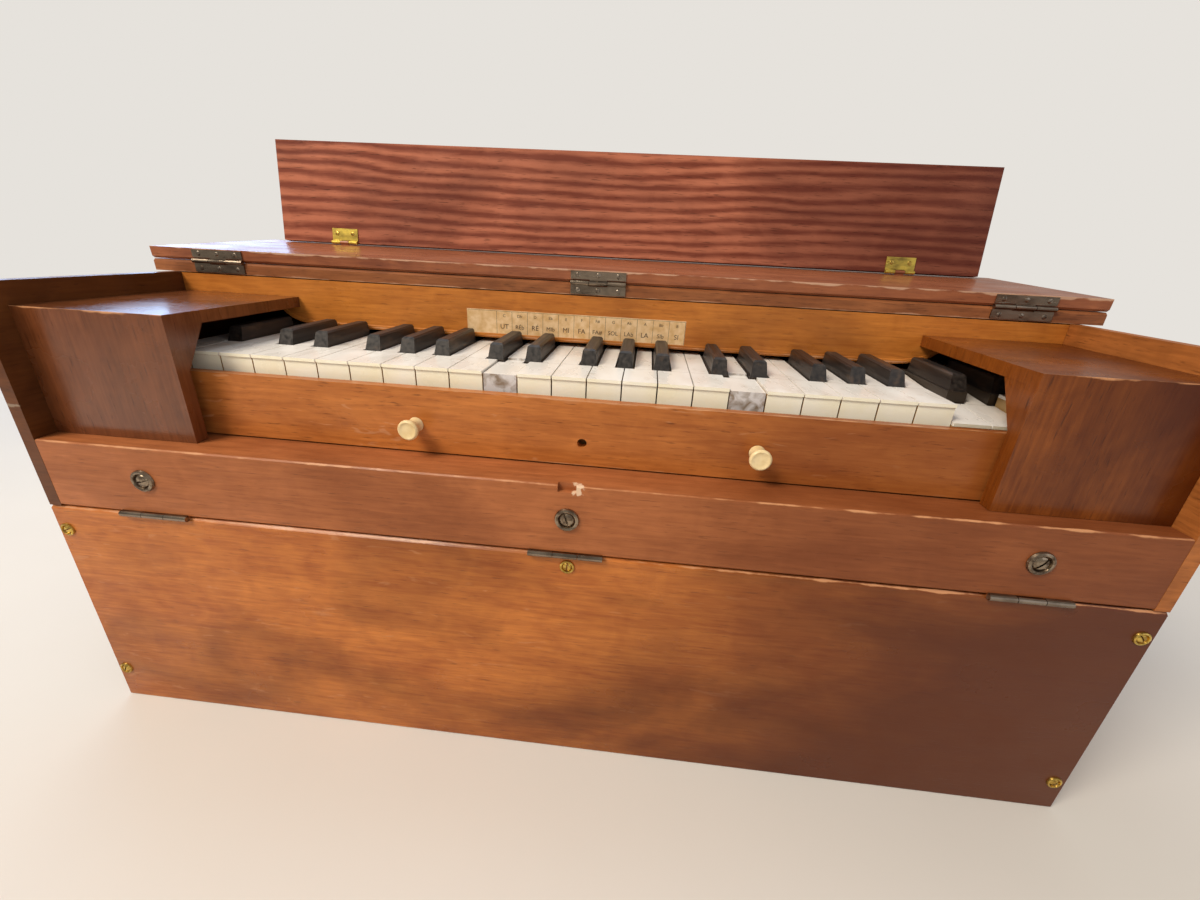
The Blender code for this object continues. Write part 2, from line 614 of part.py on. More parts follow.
def keyboard(wood_natural, wood_sharp, wood_frame):
    """All the keys, and the sliding carriage with a pin for each."""
    centres = []
    for name, sharp, natural, slot_left, slot_right in key_table():
        if sharp:
            centres.append(sharp_key(name, slot_left, slot_right, wood_sharp))
        else:
            centres.append(natural_key(name, natural, slot_left, slot_right, wood_natural))
    half = CARRIAGE_WIDTH / 2
    low = CARRIAGE_FLOOR
    base = low + CARRIAGE_BASE
    front_y = KEY_FRONT - CARRIAGE_SET_BACK
    member = front_y + FRONT_MEMBER_DEPTH
    rail_top = KEY_BOTTOM - 0.0005
    b0, b1 = PIVOT_Y - BALANCE_RAIL / 2, PIVOT_Y + BALANCE_RAIL / 2
    f0, f1 = PIVOT_Y - BALANCE_FLAT / 2, PIVOT_Y + BALANCE_FLAT / 2
    r0 = KEY_BACK - CARRIAGE_BACK_RAIL
    slope = rail_top - BALANCE_SLOPE
    profile = [(front_y, low), (KEY_BACK, low), (KEY_BACK, rail_top), (r0, rail_top), (r0, base),
               (b1, base), (b1, slope), (f1, rail_top), (f0, rail_top), (b0, slope), (b0, base),
               (member, base), (member, low + FRONT_MEMBER_HEIGHT), (front_y, low + FRONT_MEMBER_HEIGHT)]
    bm = bmesh.new()
    add_prism(bm, profile, "X", CARRIAGE_PARK - half, CARRIAGE_PARK + half)
    frame = build("key_carriage", bm, wood_frame)
    bays = bmesh.new()
    pitch = (CARRIAGE_WIDTH - BAY_BAR) / CARRIAGE_BAYS
    for i in range(CARRIAGE_BAYS):
        x0 = CARRIAGE_PARK - half + BAY_BAR + i * pitch
        x1 = x0 + pitch - BAY_BAR
        add_block(bays, x0, x1, member + 0.010, b0 - 0.008, low - 0.01, base + 0.01)
        add_block(bays, x0, x1, b1 + 0.008, r0 - 0.008, low - 0.01, base + 0.01)
    combine(frame, "DIFFERENCE", "bays", bays)
    pins = bmesh.new()
    for centre in centres:
        ring = circle(centre, PIVOT_Y, PIN_RADIUS, PIN_SIDES)
        add_prism(pins, ring, "Z", rail_top - 0.004, KEY_TOP + PIN_ABOVE_KEY)
    combine(frame, "UNION", "pins", pins)


def slip(wood, knob_finish):
    """The strip in front of the keys, a little askew on its carriage, and its two knobs."""
    low = CARRIAGE_FLOOR + RUN
    centre = Vector((CARRIAGE_PARK, SLIP_FRONT, low))
    seat = axis_empty("slip_seat", centre, SLIP_YAW, euler_index=2)
    half = CARRIAGE_WIDTH / 2 - 0.0015
    outline = rectangle(CARRIAGE_PARK - half, CARRIAGE_PARK + half, low, low + SLIP_HEIGHT)
    hole = circle(CARRIAGE_PARK, low + SLIP_HEIGHT - SLIP_HOLE_FROM_TOP, SLIP_HOLE_RADIUS, 16)
    bm = bmesh.new()
    add_prism(bm, outline, "Y", SLIP_FRONT, SLIP_FRONT + SLIP_THICKNESS, [hole])
    build("key_slip", bm, wood, parent=seat)
    profile = ((0.0, 0.0052), (0.20, 0.0044), (0.45, 0.0048), (0.72, 0.0066), (0.86, KNOB_RADIUS),
               (0.95, KNOB_RADIUS - 0.0004), (1.0, KNOB_RADIUS - 0.0016), (0.965, KNOB_RADIUS - 0.0024))
    for name, side in (("left_slip_knob", -1), ("right_slip_knob", 1)):
        x = CARRIAGE_PARK + side * KNOB_SPACING / 2
        z = low + SLIP_HEIGHT - KNOB_FROM_TOP
        rings = []
        for share, radius in profile:
            y = SLIP_FRONT - SEAT - share * KNOB_LENGTH
            rings.append([(u, y, v) for u, v in circle(x, z, radius, KNOB_SIDES)])
        bm = bmesh.new()
        add_skin(bm, [rings])
        smooth(build(name, bm, knob_finish, parent=seat))


def reed_pan(wood):
    """The board under the keys, with a slot for each reed."""
    slots = []
    for i in range(PAN_SLOTS):
        x = (i - (PAN_SLOTS - 1) / 2) * SEMITONE
        slots.append(rectangle(x - SLOT_WIDTH / 2, x + SLOT_WIDTH / 2, SLOT_FROM_FRONT,
                               SLOT_FROM_FRONT + SLOT_LENGTH))
    bm = bmesh.new()
    outline = rectangle(-FITTED, FITTED, RAIL_DEPTH + SEAT, CASE_DEPTH - BACK_BOARD - SEAT)
    add_prism(bm, outline, "Z", PAN_BOTTOM, PAN_TOP, slots)
    build("reed_pan", bm, wood)


def bellows(leather, wood):
    """The folded wedge under the pan, and the board that closes it, with its lever."""
    apex_y = BELLOWS_FRONT - BELLOWS_APEX
    apex_z = PAN_BOTTOM - SEAT
    rings = []
    for i in range(2 * BELLOWS_RIBS + 1):
        turn = -PUMP_OPEN * i / (2 * BELLOWS_RIBS)
        draw_in = BELLOWS_FOLD if i % 2 else 0.0
        half = BELLOWS_HALF_WIDTH - draw_in
        near, far = BELLOWS_APEX, BELLOWS_APEX + BELLOWS_DEPTH - draw_in
        corners = rectangle(-half, half, near, far)
        rings.append([(x, apex_y + r * math.cos(turn), apex_z + r * math.sin(turn))
                      for x, r in corners])
    bm = bmesh.new()
    add_skin(bm, [rings])
    build("wind_bellows", bm, leather)

    pump = axis_empty("pump_axis", PUMP_AXIS, -PUMP_OPEN)
    y, z = PUMP_AXIS.y, PUMP_AXIS.z
    bm = bmesh.new()
    add_block(bm, -BELLOWS_HALF_WIDTH, BELLOWS_HALF_WIDTH, y, y + BOARD_DEPTH, z - BOARD_THICKNESS, z)
    board = build("bellows_board", bm, wood, parent=pump)
    lever = bmesh.new()
    add_block(lever, LEVER_X - LEVER_WIDTH / 2, LEVER_X + LEVER_WIDTH / 2,
              y + BOARD_DEPTH - LEVER_BITE, y + LEVER_REACH,
              z - BOARD_THICKNESS - LEVER_HEIGHT + 0.0030, z - BOARD_THICKNESS + 0.0030)
    combine(board, "UNION", "lever", lever, pump)


def main():
    """Clears the scene and makes every piece."""
    for old in list(bpy.data.objects):
        bpy.data.objects.remove(old, do_unlink=True)
    case_wood = material("case_wood", (0.070, 0.026, 0.012), 0.45)
    carcass(case_wood)
    front(material("rail_wood", (0.195, 0.062, 0.022), 0.45),
          material("panel_oak", (0.420, 0.140, 0.036), 0.40))
    cheek("left_cheek", -1, material("left_cheek_wood", (0.210, 0.080, 0.035), 0.30))
    cheek("right_cheek", 1, material("right_cheek_wood", (0.195, 0.045, 0.008), 0.35))
    nameboard(material("nameboard_wood", (0.430, 0.150, 0.040), 0.35))
    lid(material("top_wood", (0.150, 0.060, 0.030), 0.45),
        material("leaf_wood", (0.170, 0.070, 0.040), 0.50),
        material("flap_wood", (0.220, 0.075, 0.045), 0.60))
    keyboard(material("ivory_key", (0.780, 0.740, 0.660), 0.35),
             material("ebony_key", (0.025, 0.022, 0.020), 0.40),
             material("frame_wood", (0.480, 0.300, 0.150), 0.60))
    slip(material("slip_oak", (0.430, 0.150, 0.045), 0.40),
         material("bone_knob", (0.720, 0.530, 0.280), 0.40))
    reed_pan(material("pan_wood", (0.500, 0.330, 0.170), 0.60))
    bellows(material("bellows_cloth", (0.060, 0.035, 0.025), 0.85),
            material("board_wood", (0.300, 0.180, 0.090), 0.60))


main()
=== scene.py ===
"""The look of a portable reed organ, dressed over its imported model.

The boards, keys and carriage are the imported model's own pieces with procedural finishes and
rounded arrises. Screws, knobs, the pleated bellows and the note label are made here and ride
with it. Lengths are in metres. A pattern's size is given in cells to the metre, so that 420
stands for lines 2.4 mm wide.
"""
from __future__ import annotations

import logging
import math
from dataclasses import dataclass
from enum import Enum

import bmesh
import bpy
from mathutils import Matrix, Vector

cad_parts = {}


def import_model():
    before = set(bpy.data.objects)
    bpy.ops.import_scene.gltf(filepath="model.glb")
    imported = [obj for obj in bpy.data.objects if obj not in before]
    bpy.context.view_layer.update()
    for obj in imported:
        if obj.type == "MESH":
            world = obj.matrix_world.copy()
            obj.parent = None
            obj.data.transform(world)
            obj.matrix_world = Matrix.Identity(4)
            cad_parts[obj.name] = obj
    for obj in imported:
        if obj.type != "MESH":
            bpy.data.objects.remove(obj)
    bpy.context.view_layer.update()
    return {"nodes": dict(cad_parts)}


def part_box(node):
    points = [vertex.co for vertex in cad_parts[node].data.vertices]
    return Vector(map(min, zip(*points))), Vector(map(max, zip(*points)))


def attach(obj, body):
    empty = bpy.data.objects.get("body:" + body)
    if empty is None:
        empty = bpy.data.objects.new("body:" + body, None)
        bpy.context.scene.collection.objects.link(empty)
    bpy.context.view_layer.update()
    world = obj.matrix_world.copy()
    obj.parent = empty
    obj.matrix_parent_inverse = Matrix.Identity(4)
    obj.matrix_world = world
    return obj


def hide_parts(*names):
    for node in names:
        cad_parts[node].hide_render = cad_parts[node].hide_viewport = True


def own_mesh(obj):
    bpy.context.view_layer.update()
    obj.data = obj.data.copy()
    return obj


LOG = logging.getLogger("reed_organ")

Triple = tuple[float, float, float]
Feed = bpy.types.Node | bpy.types.NodeSocket | float | str | Triple
Spot = tuple[Vector, float, float]

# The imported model's middle stands this far behind the front panel's face.
HALF_DEPTH = 0.165
RAIL_TOP = 0.2364
NAMEBOARD_FACE = 0.1456
LID_AXIS_Z = 0.3480
LID_AXIS = Vector((0.0, 0.1440 - HALF_DEPTH, LID_AXIS_Z))
LID_REST = math.radians(2.7)
FLAP_AXIS = Vector((0.0, 0.109175, 0.366453))
FLAP_LEAN = math.radians(-7.4)
KEY_PIVOT = Vector((0.0, 0.010, 0.276))
KEY_DROP = math.radians(5.0)
BELLOWS_OPEN = math.radians(28.0)
UPRIGHT = math.radians(90)
SKIN = 0.00002


def at(x: float, depth: float, z: float) -> Vector:
    """Gives a point whose depth is counted from the front panel's face."""
    return Vector((x, depth - HALF_DEPTH, z))


def in_frame(axis: Vector, angle: float, x: float, out: float, up: float) -> Vector:
    """Gives a point by its offsets from a leaning board's axis.

    Args:
        axis: A point on the board's hinge line.
        angle: How far the board leans, in radians.
        x: The place along the hinge line.
        out: The offset off the board's face.
        up: The offset along the board.

    Returns:
        The point in the frame's own coordinates.
    """
    return Vector((x, axis.y + out * math.cos(angle) - up * math.sin(angle),
                   axis.z + out * math.sin(angle) + up * math.cos(angle)))


def linear(code: str) -> tuple[float, float, float, float]:
    """Turns an sRGB hex colour to linear light.

    Args:
        code: The colour, such as "#BC7238".

    Returns:
        Red, green, blue and a full alpha.
    """
    values = [int(code[i:i + 2], 16) / 255 for i in (1, 3, 5)]
    out = [v / 12.92 if v <= 0.04045 else ((v + 0.055) / 1.055) ** 2.4 for v in values]
    return (out[0], out[1], out[2], 1.0)


def feed_node(tree: bpy.types.NodeTree, node: bpy.types.Node,
              feeds: dict[str, Feed] | tuple[Feed, ...]) -> None:
    """Feeds a node's open inputs.

    Args:
        tree: The tree that holds the node.
        node: The node to feed.
        feeds: What its inputs take, by name or in their order. A socket or a node's first open
            output is linked, a hex colour is turned to linear light, a number is set.
    """
    sockets = [socket for socket in node.inputs if socket.enabled]
    if isinstance(feeds, dict):
        sockets = [next(socket for socket in sockets if socket.name == name) for name in feeds]
        feeds = tuple(feeds.values())
    for socket, feed in zip(sockets, feeds):
        if isinstance(feed, bpy.types.Node):
            feed = next(output for output in feed.outputs if output.enabled)
        if isinstance(feed, bpy.types.NodeSocket):
            tree.links.new(feed, socket)
        elif socket.type == "RGBA":
            socket.default_value = linear(feed)
        else:
            socket.default_value = feed


def add_node(tree: bpy.types.NodeTree, kind: str,
             feeds: dict[str, Feed] | tuple[Feed, ...] = (), **settings: object) -> bpy.types.Node:
    """Adds a node with its settings and links.

    Args:
        tree: The tree that takes the node.
        kind: The node's type.
        feeds: What its open inputs take, as feed_node does it.
        settings: The node's own settings, such as its operation.

    Returns:
        The new node.
    """
    node = tree.nodes.new(kind)
    for name, value in settings.items():
        setattr(node, name, value)
    feed_node(tree, node, feeds)
    return node


class Grain(Enum):
    """The axis that a board's grain follows."""

    X = 0
    Y = 1
    Z = 2

    def lines(self, across: float, along: float) -> Triple:
        """Sizes a grain pattern: 1 is a line 2.4 mm wide and 110 mm long.

        Args:
            across: How many times as many lines stand side by side.
            along: How many times as many follow each other.

        Returns:
            The cells to the metre along X, Y and Z.
        """
        counts = [420.0 * across] * 3
        counts[self.value] = 9.0 * along
        return (counts[0], counts[1], counts[2])


@dataclass(frozen=True)
class Cells:
    """A noise pattern: cells to the metre, its start, its detail and how much it swirls."""

    per_metre: Triple
    shift: float = 0.0
    detail: float = 6.0
    swirl: float = 0.0


class Surface:
    """A material under way: its tree, its shader and the coordinates that its patterns read."""

    def __init__(self, name: str) -> None:
        """Starts a material on the object's own coordinates.

        Args:
            name: The material's name.
        """
        self.material = bpy.data.materials.new(name)
        self.material.use_nodes = True
        self.tree = self.material.node_tree
        self.shader = self.tree.nodes["Principled BSDF"]
        self.place = self.add("TexCoord").outputs["Object"]
        self.coords: Feed = self.place
        axes = self.add("SeparateXYZ", (self.place,)).outputs
        self.x, self.y, self.z = axes["X"], axes["Y"], axes["Z"]

    def add(self, kind: str, feeds: dict[str, Feed] | tuple[Feed, ...] = (),
            **settings: object) -> bpy.types.Node:
        """Adds a shader node to this tree, with what add_node takes."""
        return add_node(self.tree, "ShaderNode" + kind, feeds, **settings)

    def shade(self, feeds: dict[str, Feed]) -> None:
        """Feeds the shader's own inputs by name."""
        feed_node(self.tree, self.shader, feeds)

    def pattern(self, cells: Cells) -> bpy.types.Node:
        """Draws a noise pattern from 0 to 1.

        Args:
            cells: The pattern's size and kind.

        Returns:
            The noise node, whose first output is the pattern.
        """
        start = (cells.shift, cells.shift * 0.7, cells.shift * 1.3)
        drawn = self.add("Mapping", {"Vector": self.coords, "Location": start, "Scale": cells.per_metre})
        return self.add("TexNoise", {"Vector": drawn, "Scale": 1.0, "Detail": cells.detail,
                                     "Distortion": cells.swirl})

    def weighted(self, *parts: tuple[Feed, float]) -> Feed:
        """Adds up patterns or coordinates.

        Args:
            parts: Each pattern with its share.

        Returns:
            The sum.
        """
        total: Feed = 0.0
        for feed, share in parts:
            total = self.add("Math", (feed, share, total), operation="MULTIPLY_ADD")
        return total

    def away(self, **middle: float) -> bpy.types.Node:
        """Measures the distance from a point, or from a line along each axis left out.

        Args:
            middle: The point's x, y and z.

        Returns:
            The distance.
        """
        total: Feed = 0.0
        for axis, centre in middle.items():
            step = self.add("Math", (getattr(self, axis), centre), operation="SUBTRACT")
            total = self.add("Math", (step, step, total), operation="MULTIPLY_ADD")
        return self.add("Math", (total,), operation="SQRT")

    def normal_y(self) -> bpy.types.NodeSocket:
        """Tells which way a face looks: -1 is to the front and 1 to the back."""
        return self.add("SeparateXYZ", (self.add("NewGeometry").outputs["True Normal"],)).outputs["Y"]

    def turn_grain_at_back(self) -> None:
        """Lets the grain run across on faces that look to the front or back."""
        swapped = self.add("CombineXYZ", (self.y, self.x, self.z))
        steep = self.add("Math", (self.normal_y(),), operation="ABSOLUTE")
        faces = self.add("Math", (steep, 0.7), operation="GREATER_THAN")
        self.coords = self.add("Mix", (faces, self.place, swapped), data_type="VECTOR")


@dataclass(frozen=True)
class Arris:
    """An edge along X that has lost its colour: its depth, its height and the wear's reach."""

    depth: float
    z: float
    reach: float


@dataclass(frozen=True)
class Chip:
    """A splinter lost from a board's front edge: its middle and how far it reaches."""

    x: float
    z: float
    reach: float
    depth: float = 0.0004
    colour: str = "#E0BFA0"


@dataclass(frozen=True)
class PaintedShade:
    """Painted shade that darkens one side of a board: where it starts and ends, how much, and its slope."""

    start: float
    end: float
    strength: float
    slope: float = 0.0


@dataclass(frozen=True)
class Plate:
    """Hinge metal that is one solid with its board: all that lies in front of a leaning plane."""

    lean: float
    offset: float
    colour: str = "#8E8070"
    stain: str = "#4A3C30"


@dataclass(frozen=True)
class Wood:
    """A stained and varnished wood, sanded along its grain and worn by handling.

    It gives the eye broad bands, fine lines and darker pores that follow one axis, a satin gloss
    broken by smudges, paler arrises and, where it is given, painted shade on one side.
    """

    name: str
    light: str
    dark: str
    grain: Grain = Grain.X
    roughness: float = 0.42
    pore: str = "#2A1208"
    pores: float = 0.5
    flecks: float = 0.0
    bump: float = 0.25
    coat: float = 0.15
    worn: str = "#C98F63"
    arrises: tuple[Arris, ...] = ()
    chip: Chip | None = None
    blotch: float = 0.35
    # The colour of the stain's blotches, which the painted shade also darkens towards.
    blotch_and_shade_colour: str = "#5A2A14"
    rings: float = 0.0
    shade: PaintedShade | None = None
    plate: Plate | None = None

    def streaks(self, surface: Surface) -> Feed:
        """Draws the figure of the wood.

        Args:
            surface: The material under way.

        Returns:
            The figure, from 0 for a dark line to 1 for a light one.
        """
        # Bands 34 mm wide, lines of 2.4 mm and a shimmer of 22 to 26 mm.
        broad = surface.pattern(Cells(self.grain.lines(0.07, 0.6), 3.1, 5.0, 1.1))
        fine = surface.pattern(Cells(self.grain.lines(1.0, 3.5), 1.7, 8.0, 0.5))
        shimmer = surface.pattern(Cells((38.0, 46.0, 46.0), 2.4, 7.0, 1.4))
        streak = surface.weighted((broad, 0.36), (fine, 0.42), (shimmer, 0.22))
        if self.rings:
            # Growth rings of a flat-sawn board, stacked in height and drawn out along it.
            start = surface.add("Mapping", {"Vector": surface.coords, "Location": (0.3, 0.21, 0.39),
                                            "Scale": (0.22, 1.0, 1.0)})
            wave = surface.add("TexWave", {"Vector": start, "Scale": self.rings, "Distortion": 11.0,
                                           "Detail": 4.0, "Detail Scale": 0.45}, bands_direction="Z")
            streak = surface.weighted((streak, 0.72), (wave.outputs["Fac"], 0.28))
        return streak

    def grained(self, surface: Surface) -> tuple[Feed, Feed]:
        """Colours the bare board, with painted shade on one side where it is given.

        Args:
            surface: The material under way.

        Returns:
            The colour and the height of the grain.
        """
        streak = self.streaks(surface)
        figure = surface.add("MapRange", (streak, 0.36, 0.64))
        base = surface.add("Mix", (figure, self.dark, self.light), data_type="RGBA")
        # Stain taken up unevenly, in patches of 90 to 170 mm.
        patch = surface.pattern(Cells((6.0, 11.0, 11.0), 5.3, 4.0, 0.8))
        taken = surface.add("MapRange", (patch, 0.46, 0.70, 0.0, self.blotch))
        base = surface.add("Mix", (taken, base, self.blotch_and_shade_colour), data_type="RGBA")
        # Pores are drawn 1.1 mm wide, coarser than real ones, so that they show.
        pits = surface.pattern(Cells(self.grain.lines(2.2, 9.0), 0.4, 3.0))
        pore = surface.add("MapRange", (pits, 0.62, 0.72))
        filled = surface.add("Math", (pore, self.pores), operation="MULTIPLY")
        base = surface.add("Mix", (filled, base, self.pore), data_type="RGBA")
        if self.flecks:
            # Medullary flecks of quartered oak, 6 mm by 25 mm.
            rays = surface.pattern(Cells(self.grain.lines(0.40, 4.5), 8.8, 2.0, 0.8))
            fleck = surface.add("MapRange", (rays, 0.66, 0.74))
            bright = surface.add("Math", (fleck, self.flecks), operation="MULTIPLY")
            base = surface.add("Mix", (bright, base, self.worn), data_type="RGBA")
        # Painted shade: darkens one side of the board, and its lower part where a slope is given, towards
        # the blotches' colour.
        if self.shade is not None:
            low = surface.add("Math", (RAIL_TOP, surface.z), operation="SUBTRACT")
            side = surface.weighted((surface.x, 1.0), (patch, 0.18), (low, self.shade.slope))
            depth = surface.add("MapRange", (side, self.shade.start, self.shade.end, 0.0,
                                             self.shade.strength))
            base = surface.add("Mix", (depth, base, self.blotch_and_shade_colour), data_type="RGBA")
        return base, surface.weighted((streak, 1.0), (pore, -0.6))

    def worn_away(self, surface: Surface, base: Feed) -> Feed:
        """Bares the wood along its arrises and where a splinter is lost.

        Args:
            surface: The material under way.
            base: The colour so far.

        Returns:
            The colour with the wear on it.
        """
        if self.arrises:
            # The wear comes and goes every 6 to 18 mm and fades over 0.8 mm.
            rubbed = surface.pattern(Cells((55.0, 160.0, 160.0), 2.2, 5.0))
            broken = surface.add("MapRange", (rubbed, 0.35, 0.75))
            total: Feed = 0.0
            for arris in self.arrises:
                gone = surface.away(y=arris.depth - HALF_DEPTH, z=arris.z)
                reach = surface.weighted((broken, arris.reach * 2.0), (gone, -1.0))
                worn = surface.add("MapRange", (reach, 0.0, 0.0008))
                total = surface.add("Math", (worn, total), operation="MAXIMUM")
            base = surface.add("Mix", (total, base, self.worn), data_type="RGBA")
        if self.chip is not None:
            # A ragged outline with teeth of 2.4 mm.
            gone = surface.away(x=self.chip.x, y=self.chip.depth - HALF_DEPTH, z=self.chip.z)
            ragged = surface.pattern(Cells((420.0, 420.0, 420.0), 7.1, 4.0))
            reach = surface.weighted((ragged, self.chip.reach * 2.0), (gone, -1.0))
            bare = surface.add("MapRange", (reach, 0.0, 0.0012))
            base = surface.add("Mix", (bare, base, self.chip.colour), data_type="RGBA")
        return base

    def plated(self, surface: Surface, base: Feed, rough: Feed) -> tuple[Feed, Feed]:
        """Turns what lies in front of the plate's plane to tarnished metal.

        Args:
            surface: The material under way.
            base: The colour so far.
            rough: The roughness so far.

        Returns:
            The colour and the roughness with the metal in them.
        """
        lean = self.plate.lean
        side = surface.weighted((surface.y, math.cos(lean)), (surface.z, math.sin(lean)))
        behind = surface.add("Math", (side, self.plate.offset), operation="SUBTRACT")
        mask = surface.add("MapRange", (behind, 0.0, SKIN, 1.0, 0.0))
        # Tarnish in specks of 6 to 11 mm.
        tarnish = surface.pattern(Cells((90.0, 160.0, 160.0), 6.6))
        spots = surface.add("MapRange", (tarnish, 0.42, 0.75, 0.0, 0.7))
        metal = surface.add("Mix", (spots, self.plate.colour, self.plate.stain), data_type="RGBA")
        surface.shade({"Metallic": mask})
        return (surface.add("Mix", (mask, base, metal), data_type="RGBA"),
                surface.weighted((rough, 1.0), (mask, -0.12)))

    def material(self) -> bpy.types.Material:
        """Builds the finish.

        Returns:
            The material.
        """
        surface = Surface(self.name)
        if self.grain is Grain.Y:
            surface.turn_grain_at_back()
        base, height = self.grained(surface)
        base = self.worn_away(surface, base)
        # Handling dulls the varnish in smudges of 33 to 45 mm.
        smudge = surface.pattern(Cells((22.0, 30.0, 30.0), 9.4, 4.0))
        rough: Feed = surface.add("MapRange", (smudge, 0.3, 0.7, self.roughness - 0.10,
                                               self.roughness + 0.14))
        if self.plate is not None:
            base, rough = self.plated(surface, base, rough)
        raised = surface.add("Bump", {"Strength": self.bump, "Distance": 0.0004, "Height": height})
        surface.shade({"Base Color": base, "Roughness": rough, "Specular IOR Level": 0.20,
                       "Coat Weight": self.coat * 0.5, "Coat Roughness": 0.22, "Normal": raised})
        return surface.material


@dataclass(frozen=True)
class Metal:
    """A turned and polished metal that has tarnished: bright, with duller stains of about 4 mm."""

    name: str
    clean: str
    stain: str
    roughness: float

    def material(self) -> bpy.types.Material:
        """Builds the finish.

        Returns:
            The material.
        """
        surface = Surface(self.name)
        spots = surface.pattern(Cells((260.0, 260.0, 260.0), 4.1, 5.0))
        stained = surface.add("MapRange", (spots, 0.42, 0.68))
        # The tool's marks are drawn 1.1 mm apart, coarser than real ones, so that they show.
        marks = surface.pattern(Cells((900.0, 900.0, 900.0), detail=3.0))
        surface.shade({
            "Base Color": surface.add("Mix", (stained, self.clean, self.stain), data_type="RGBA"),
            "Roughness": surface.add("MapRange", (spots, 0.3, 0.7, self.roughness - 0.08,
                                                  self.roughness + 0.15)),
            "Metallic": 1.0,
            "Normal": surface.add("Bump", {"Strength": 0.15, "Distance": 0.0001, "Height": marks})})
        return surface.material


@dataclass(frozen=True)
class Ivory:
    """Polished ivory plates on a limewood key, rubbed smooth by playing.

    It gives the eye a warm white with faint clouds, grime, a hairline seam behind the head, and
    pale wood below the plate. A bared key shows glue and torn wood in front. A dropped key is
    turned about its pin by an angle, and its finish turns with it.
    """

    name: str
    bared: bool = False
    drop: float = 0.0
    seam_depth: float = 0.0798
    plate_bottom: float = 0.29275

    def plate(self, surface: Surface, cloud: Feed, along: Feed) -> Feed:
        """Colours the top of the plate.

        Args:
            surface: The material under way.
            cloud: The ivory's own clouds.
            along: The distance behind the key's pin.

        Returns:
            The colour.
        """
        light = surface.add("MapRange", (cloud, 0.35, 0.7))
        top = surface.add("Mix", (light, "#F1EBE1", "#FBF7F0"), data_type="RGBA")
        # Grime in specks of 11 to 17 mm.
        specks = surface.pattern(Cells((90.0, 60.0, 90.0), 7.7, 5.0))
        grime = surface.add("MapRange", (specks, 0.6, 0.8, 0.0, 0.45))
        top = surface.add("Mix", (grime, top, "#B9A88C"), data_type="RGBA")
        # The seam is about 0.4 mm wide with soft sides.
        middle = self.seam_depth - HALF_DEPTH - KEY_PIVOT.y
        away = surface.add("Math", (along, middle), operation="SUBTRACT")
        seam = surface.add("Math", (away,), operation="ABSOLUTE")
        line = surface.add("MapRange", (seam, 0.00012, 0.00028, 0.75, 0.0))
        return surface.add("Mix", (line, top, "#7A6A52"), data_type="RGBA")

    def material(self) -> bpy.types.Material:
        """Builds the finish.

        Returns:
            The material.
        """
        surface = Surface(self.name)
        back = surface.add("Math", (surface.y, KEY_PIVOT.y), operation="SUBTRACT")
        up = surface.add("Math", (surface.z, KEY_PIVOT.z), operation="SUBTRACT")
        along = surface.weighted((back, math.cos(self.drop)), (up, math.sin(self.drop)))
        height = surface.weighted((up, math.cos(self.drop)), (back, -math.sin(self.drop)))
        # Clouds of 22 to 45 mm.
        cloud = surface.pattern(Cells((45.0, 22.0, 45.0), 1.2, 5.0))
        side = top = self.plate(surface, cloud, along)
        if self.bared:
            # Glue and torn wood in patches of 8 to 11 mm.
            torn = surface.pattern(Cells((130.0, 90.0, 130.0), 4.4, 5.0, 0.8))
            patches = surface.add("MapRange", (torn, 0.40, 0.66))
            front = surface.add("Mix", (patches, "#DAD8D8", "#8C7B68"), data_type="RGBA")
        else:
            light = surface.add("MapRange", (cloud, 0.3, 0.7))
            front = surface.add("Mix", (light, "#FAF4D6", "#FFFCEC"), data_type="RGBA")
            # Limewood: lines 3.3 mm wide and 110 mm long.
            lines = surface.pattern(Cells((300.0, 9.0, 300.0)))
            lime = surface.add("Mix", (lines, "#A9824F", "#D2B07A"), data_type="RGBA")
            bottom = self.plate_bottom - KEY_PIVOT.z
            covered = surface.add("MapRange", (height, bottom, bottom + 0.00007))
            side = surface.add("Mix", (covered, lime, top), data_type="RGBA")
        is_front = surface.add("MapRange", (surface.normal_y(), -0.75, -0.65, 1.0, 0.0))
        # The scraper's marks run along the key, 2 mm apart.
        marks = surface.pattern(Cells((500.0, 60.0, 500.0), detail=4.0))
        surface.shade({
            "Base Color": surface.add("Mix", (is_front, side, front), data_type="RGBA"),
            "Roughness": surface.add("MapRange", (cloud, 0.3, 0.7, 0.22, 0.42)),
            "Coat Weight": 0.2,
            "Normal": surface.add("Bump", {"Strength": 0.06, "Distance": 0.0002, "Height": marks})})
        return surface.material


@dataclass(frozen=True)
class Ebony:
    """Stained and oiled hardwood sharps: near black, with a brown bloom where fingers thin it."""

    name: str = "stained_ebony_sharp"
    plate_top: float = 0.2940

    def material(self) -> bpy.types.Material:
        """Builds the finish.

        Returns:
            The material.
        """
        surface = Surface(self.name)
        # Lines 2.6 mm wide and 70 mm long, and a bloom of 8 to 25 mm.
        streak = surface.pattern(Cells((380.0, 14.0, 380.0), 2.9, 7.0))
        bloom = surface.pattern(Cells((120.0, 40.0, 120.0), 6.1, 5.0))
        figure = surface.add("MapRange", (streak, 0.35, 0.7))
        base = surface.add("Mix", (figure, "#1B1817", "#3B3531"), data_type="RGBA")
        thin = surface.add("MapRange", (bloom, 0.58, 0.78, 0.0, 0.6))
        base = surface.add("Mix", (thin, base, "#6A5442"), data_type="RGBA")
        # Below the naturals' tops the sharp's own wood shows, less stained.
        low = surface.add("MapRange", (surface.z, self.plate_top, self.plate_top + 0.0006, 1.0, 0.0))
        surface.shade({
            "Base Color": surface.add("Mix", (low, base, "#32281F"), data_type="RGBA"),
            "Roughness": surface.add("MapRange", (streak, 0.3, 0.7, 0.28, 0.52)),
            "Normal": surface.add("Bump", {"Strength": 0.12, "Distance": 0.0002, "Height": streak})})
        return surface.material


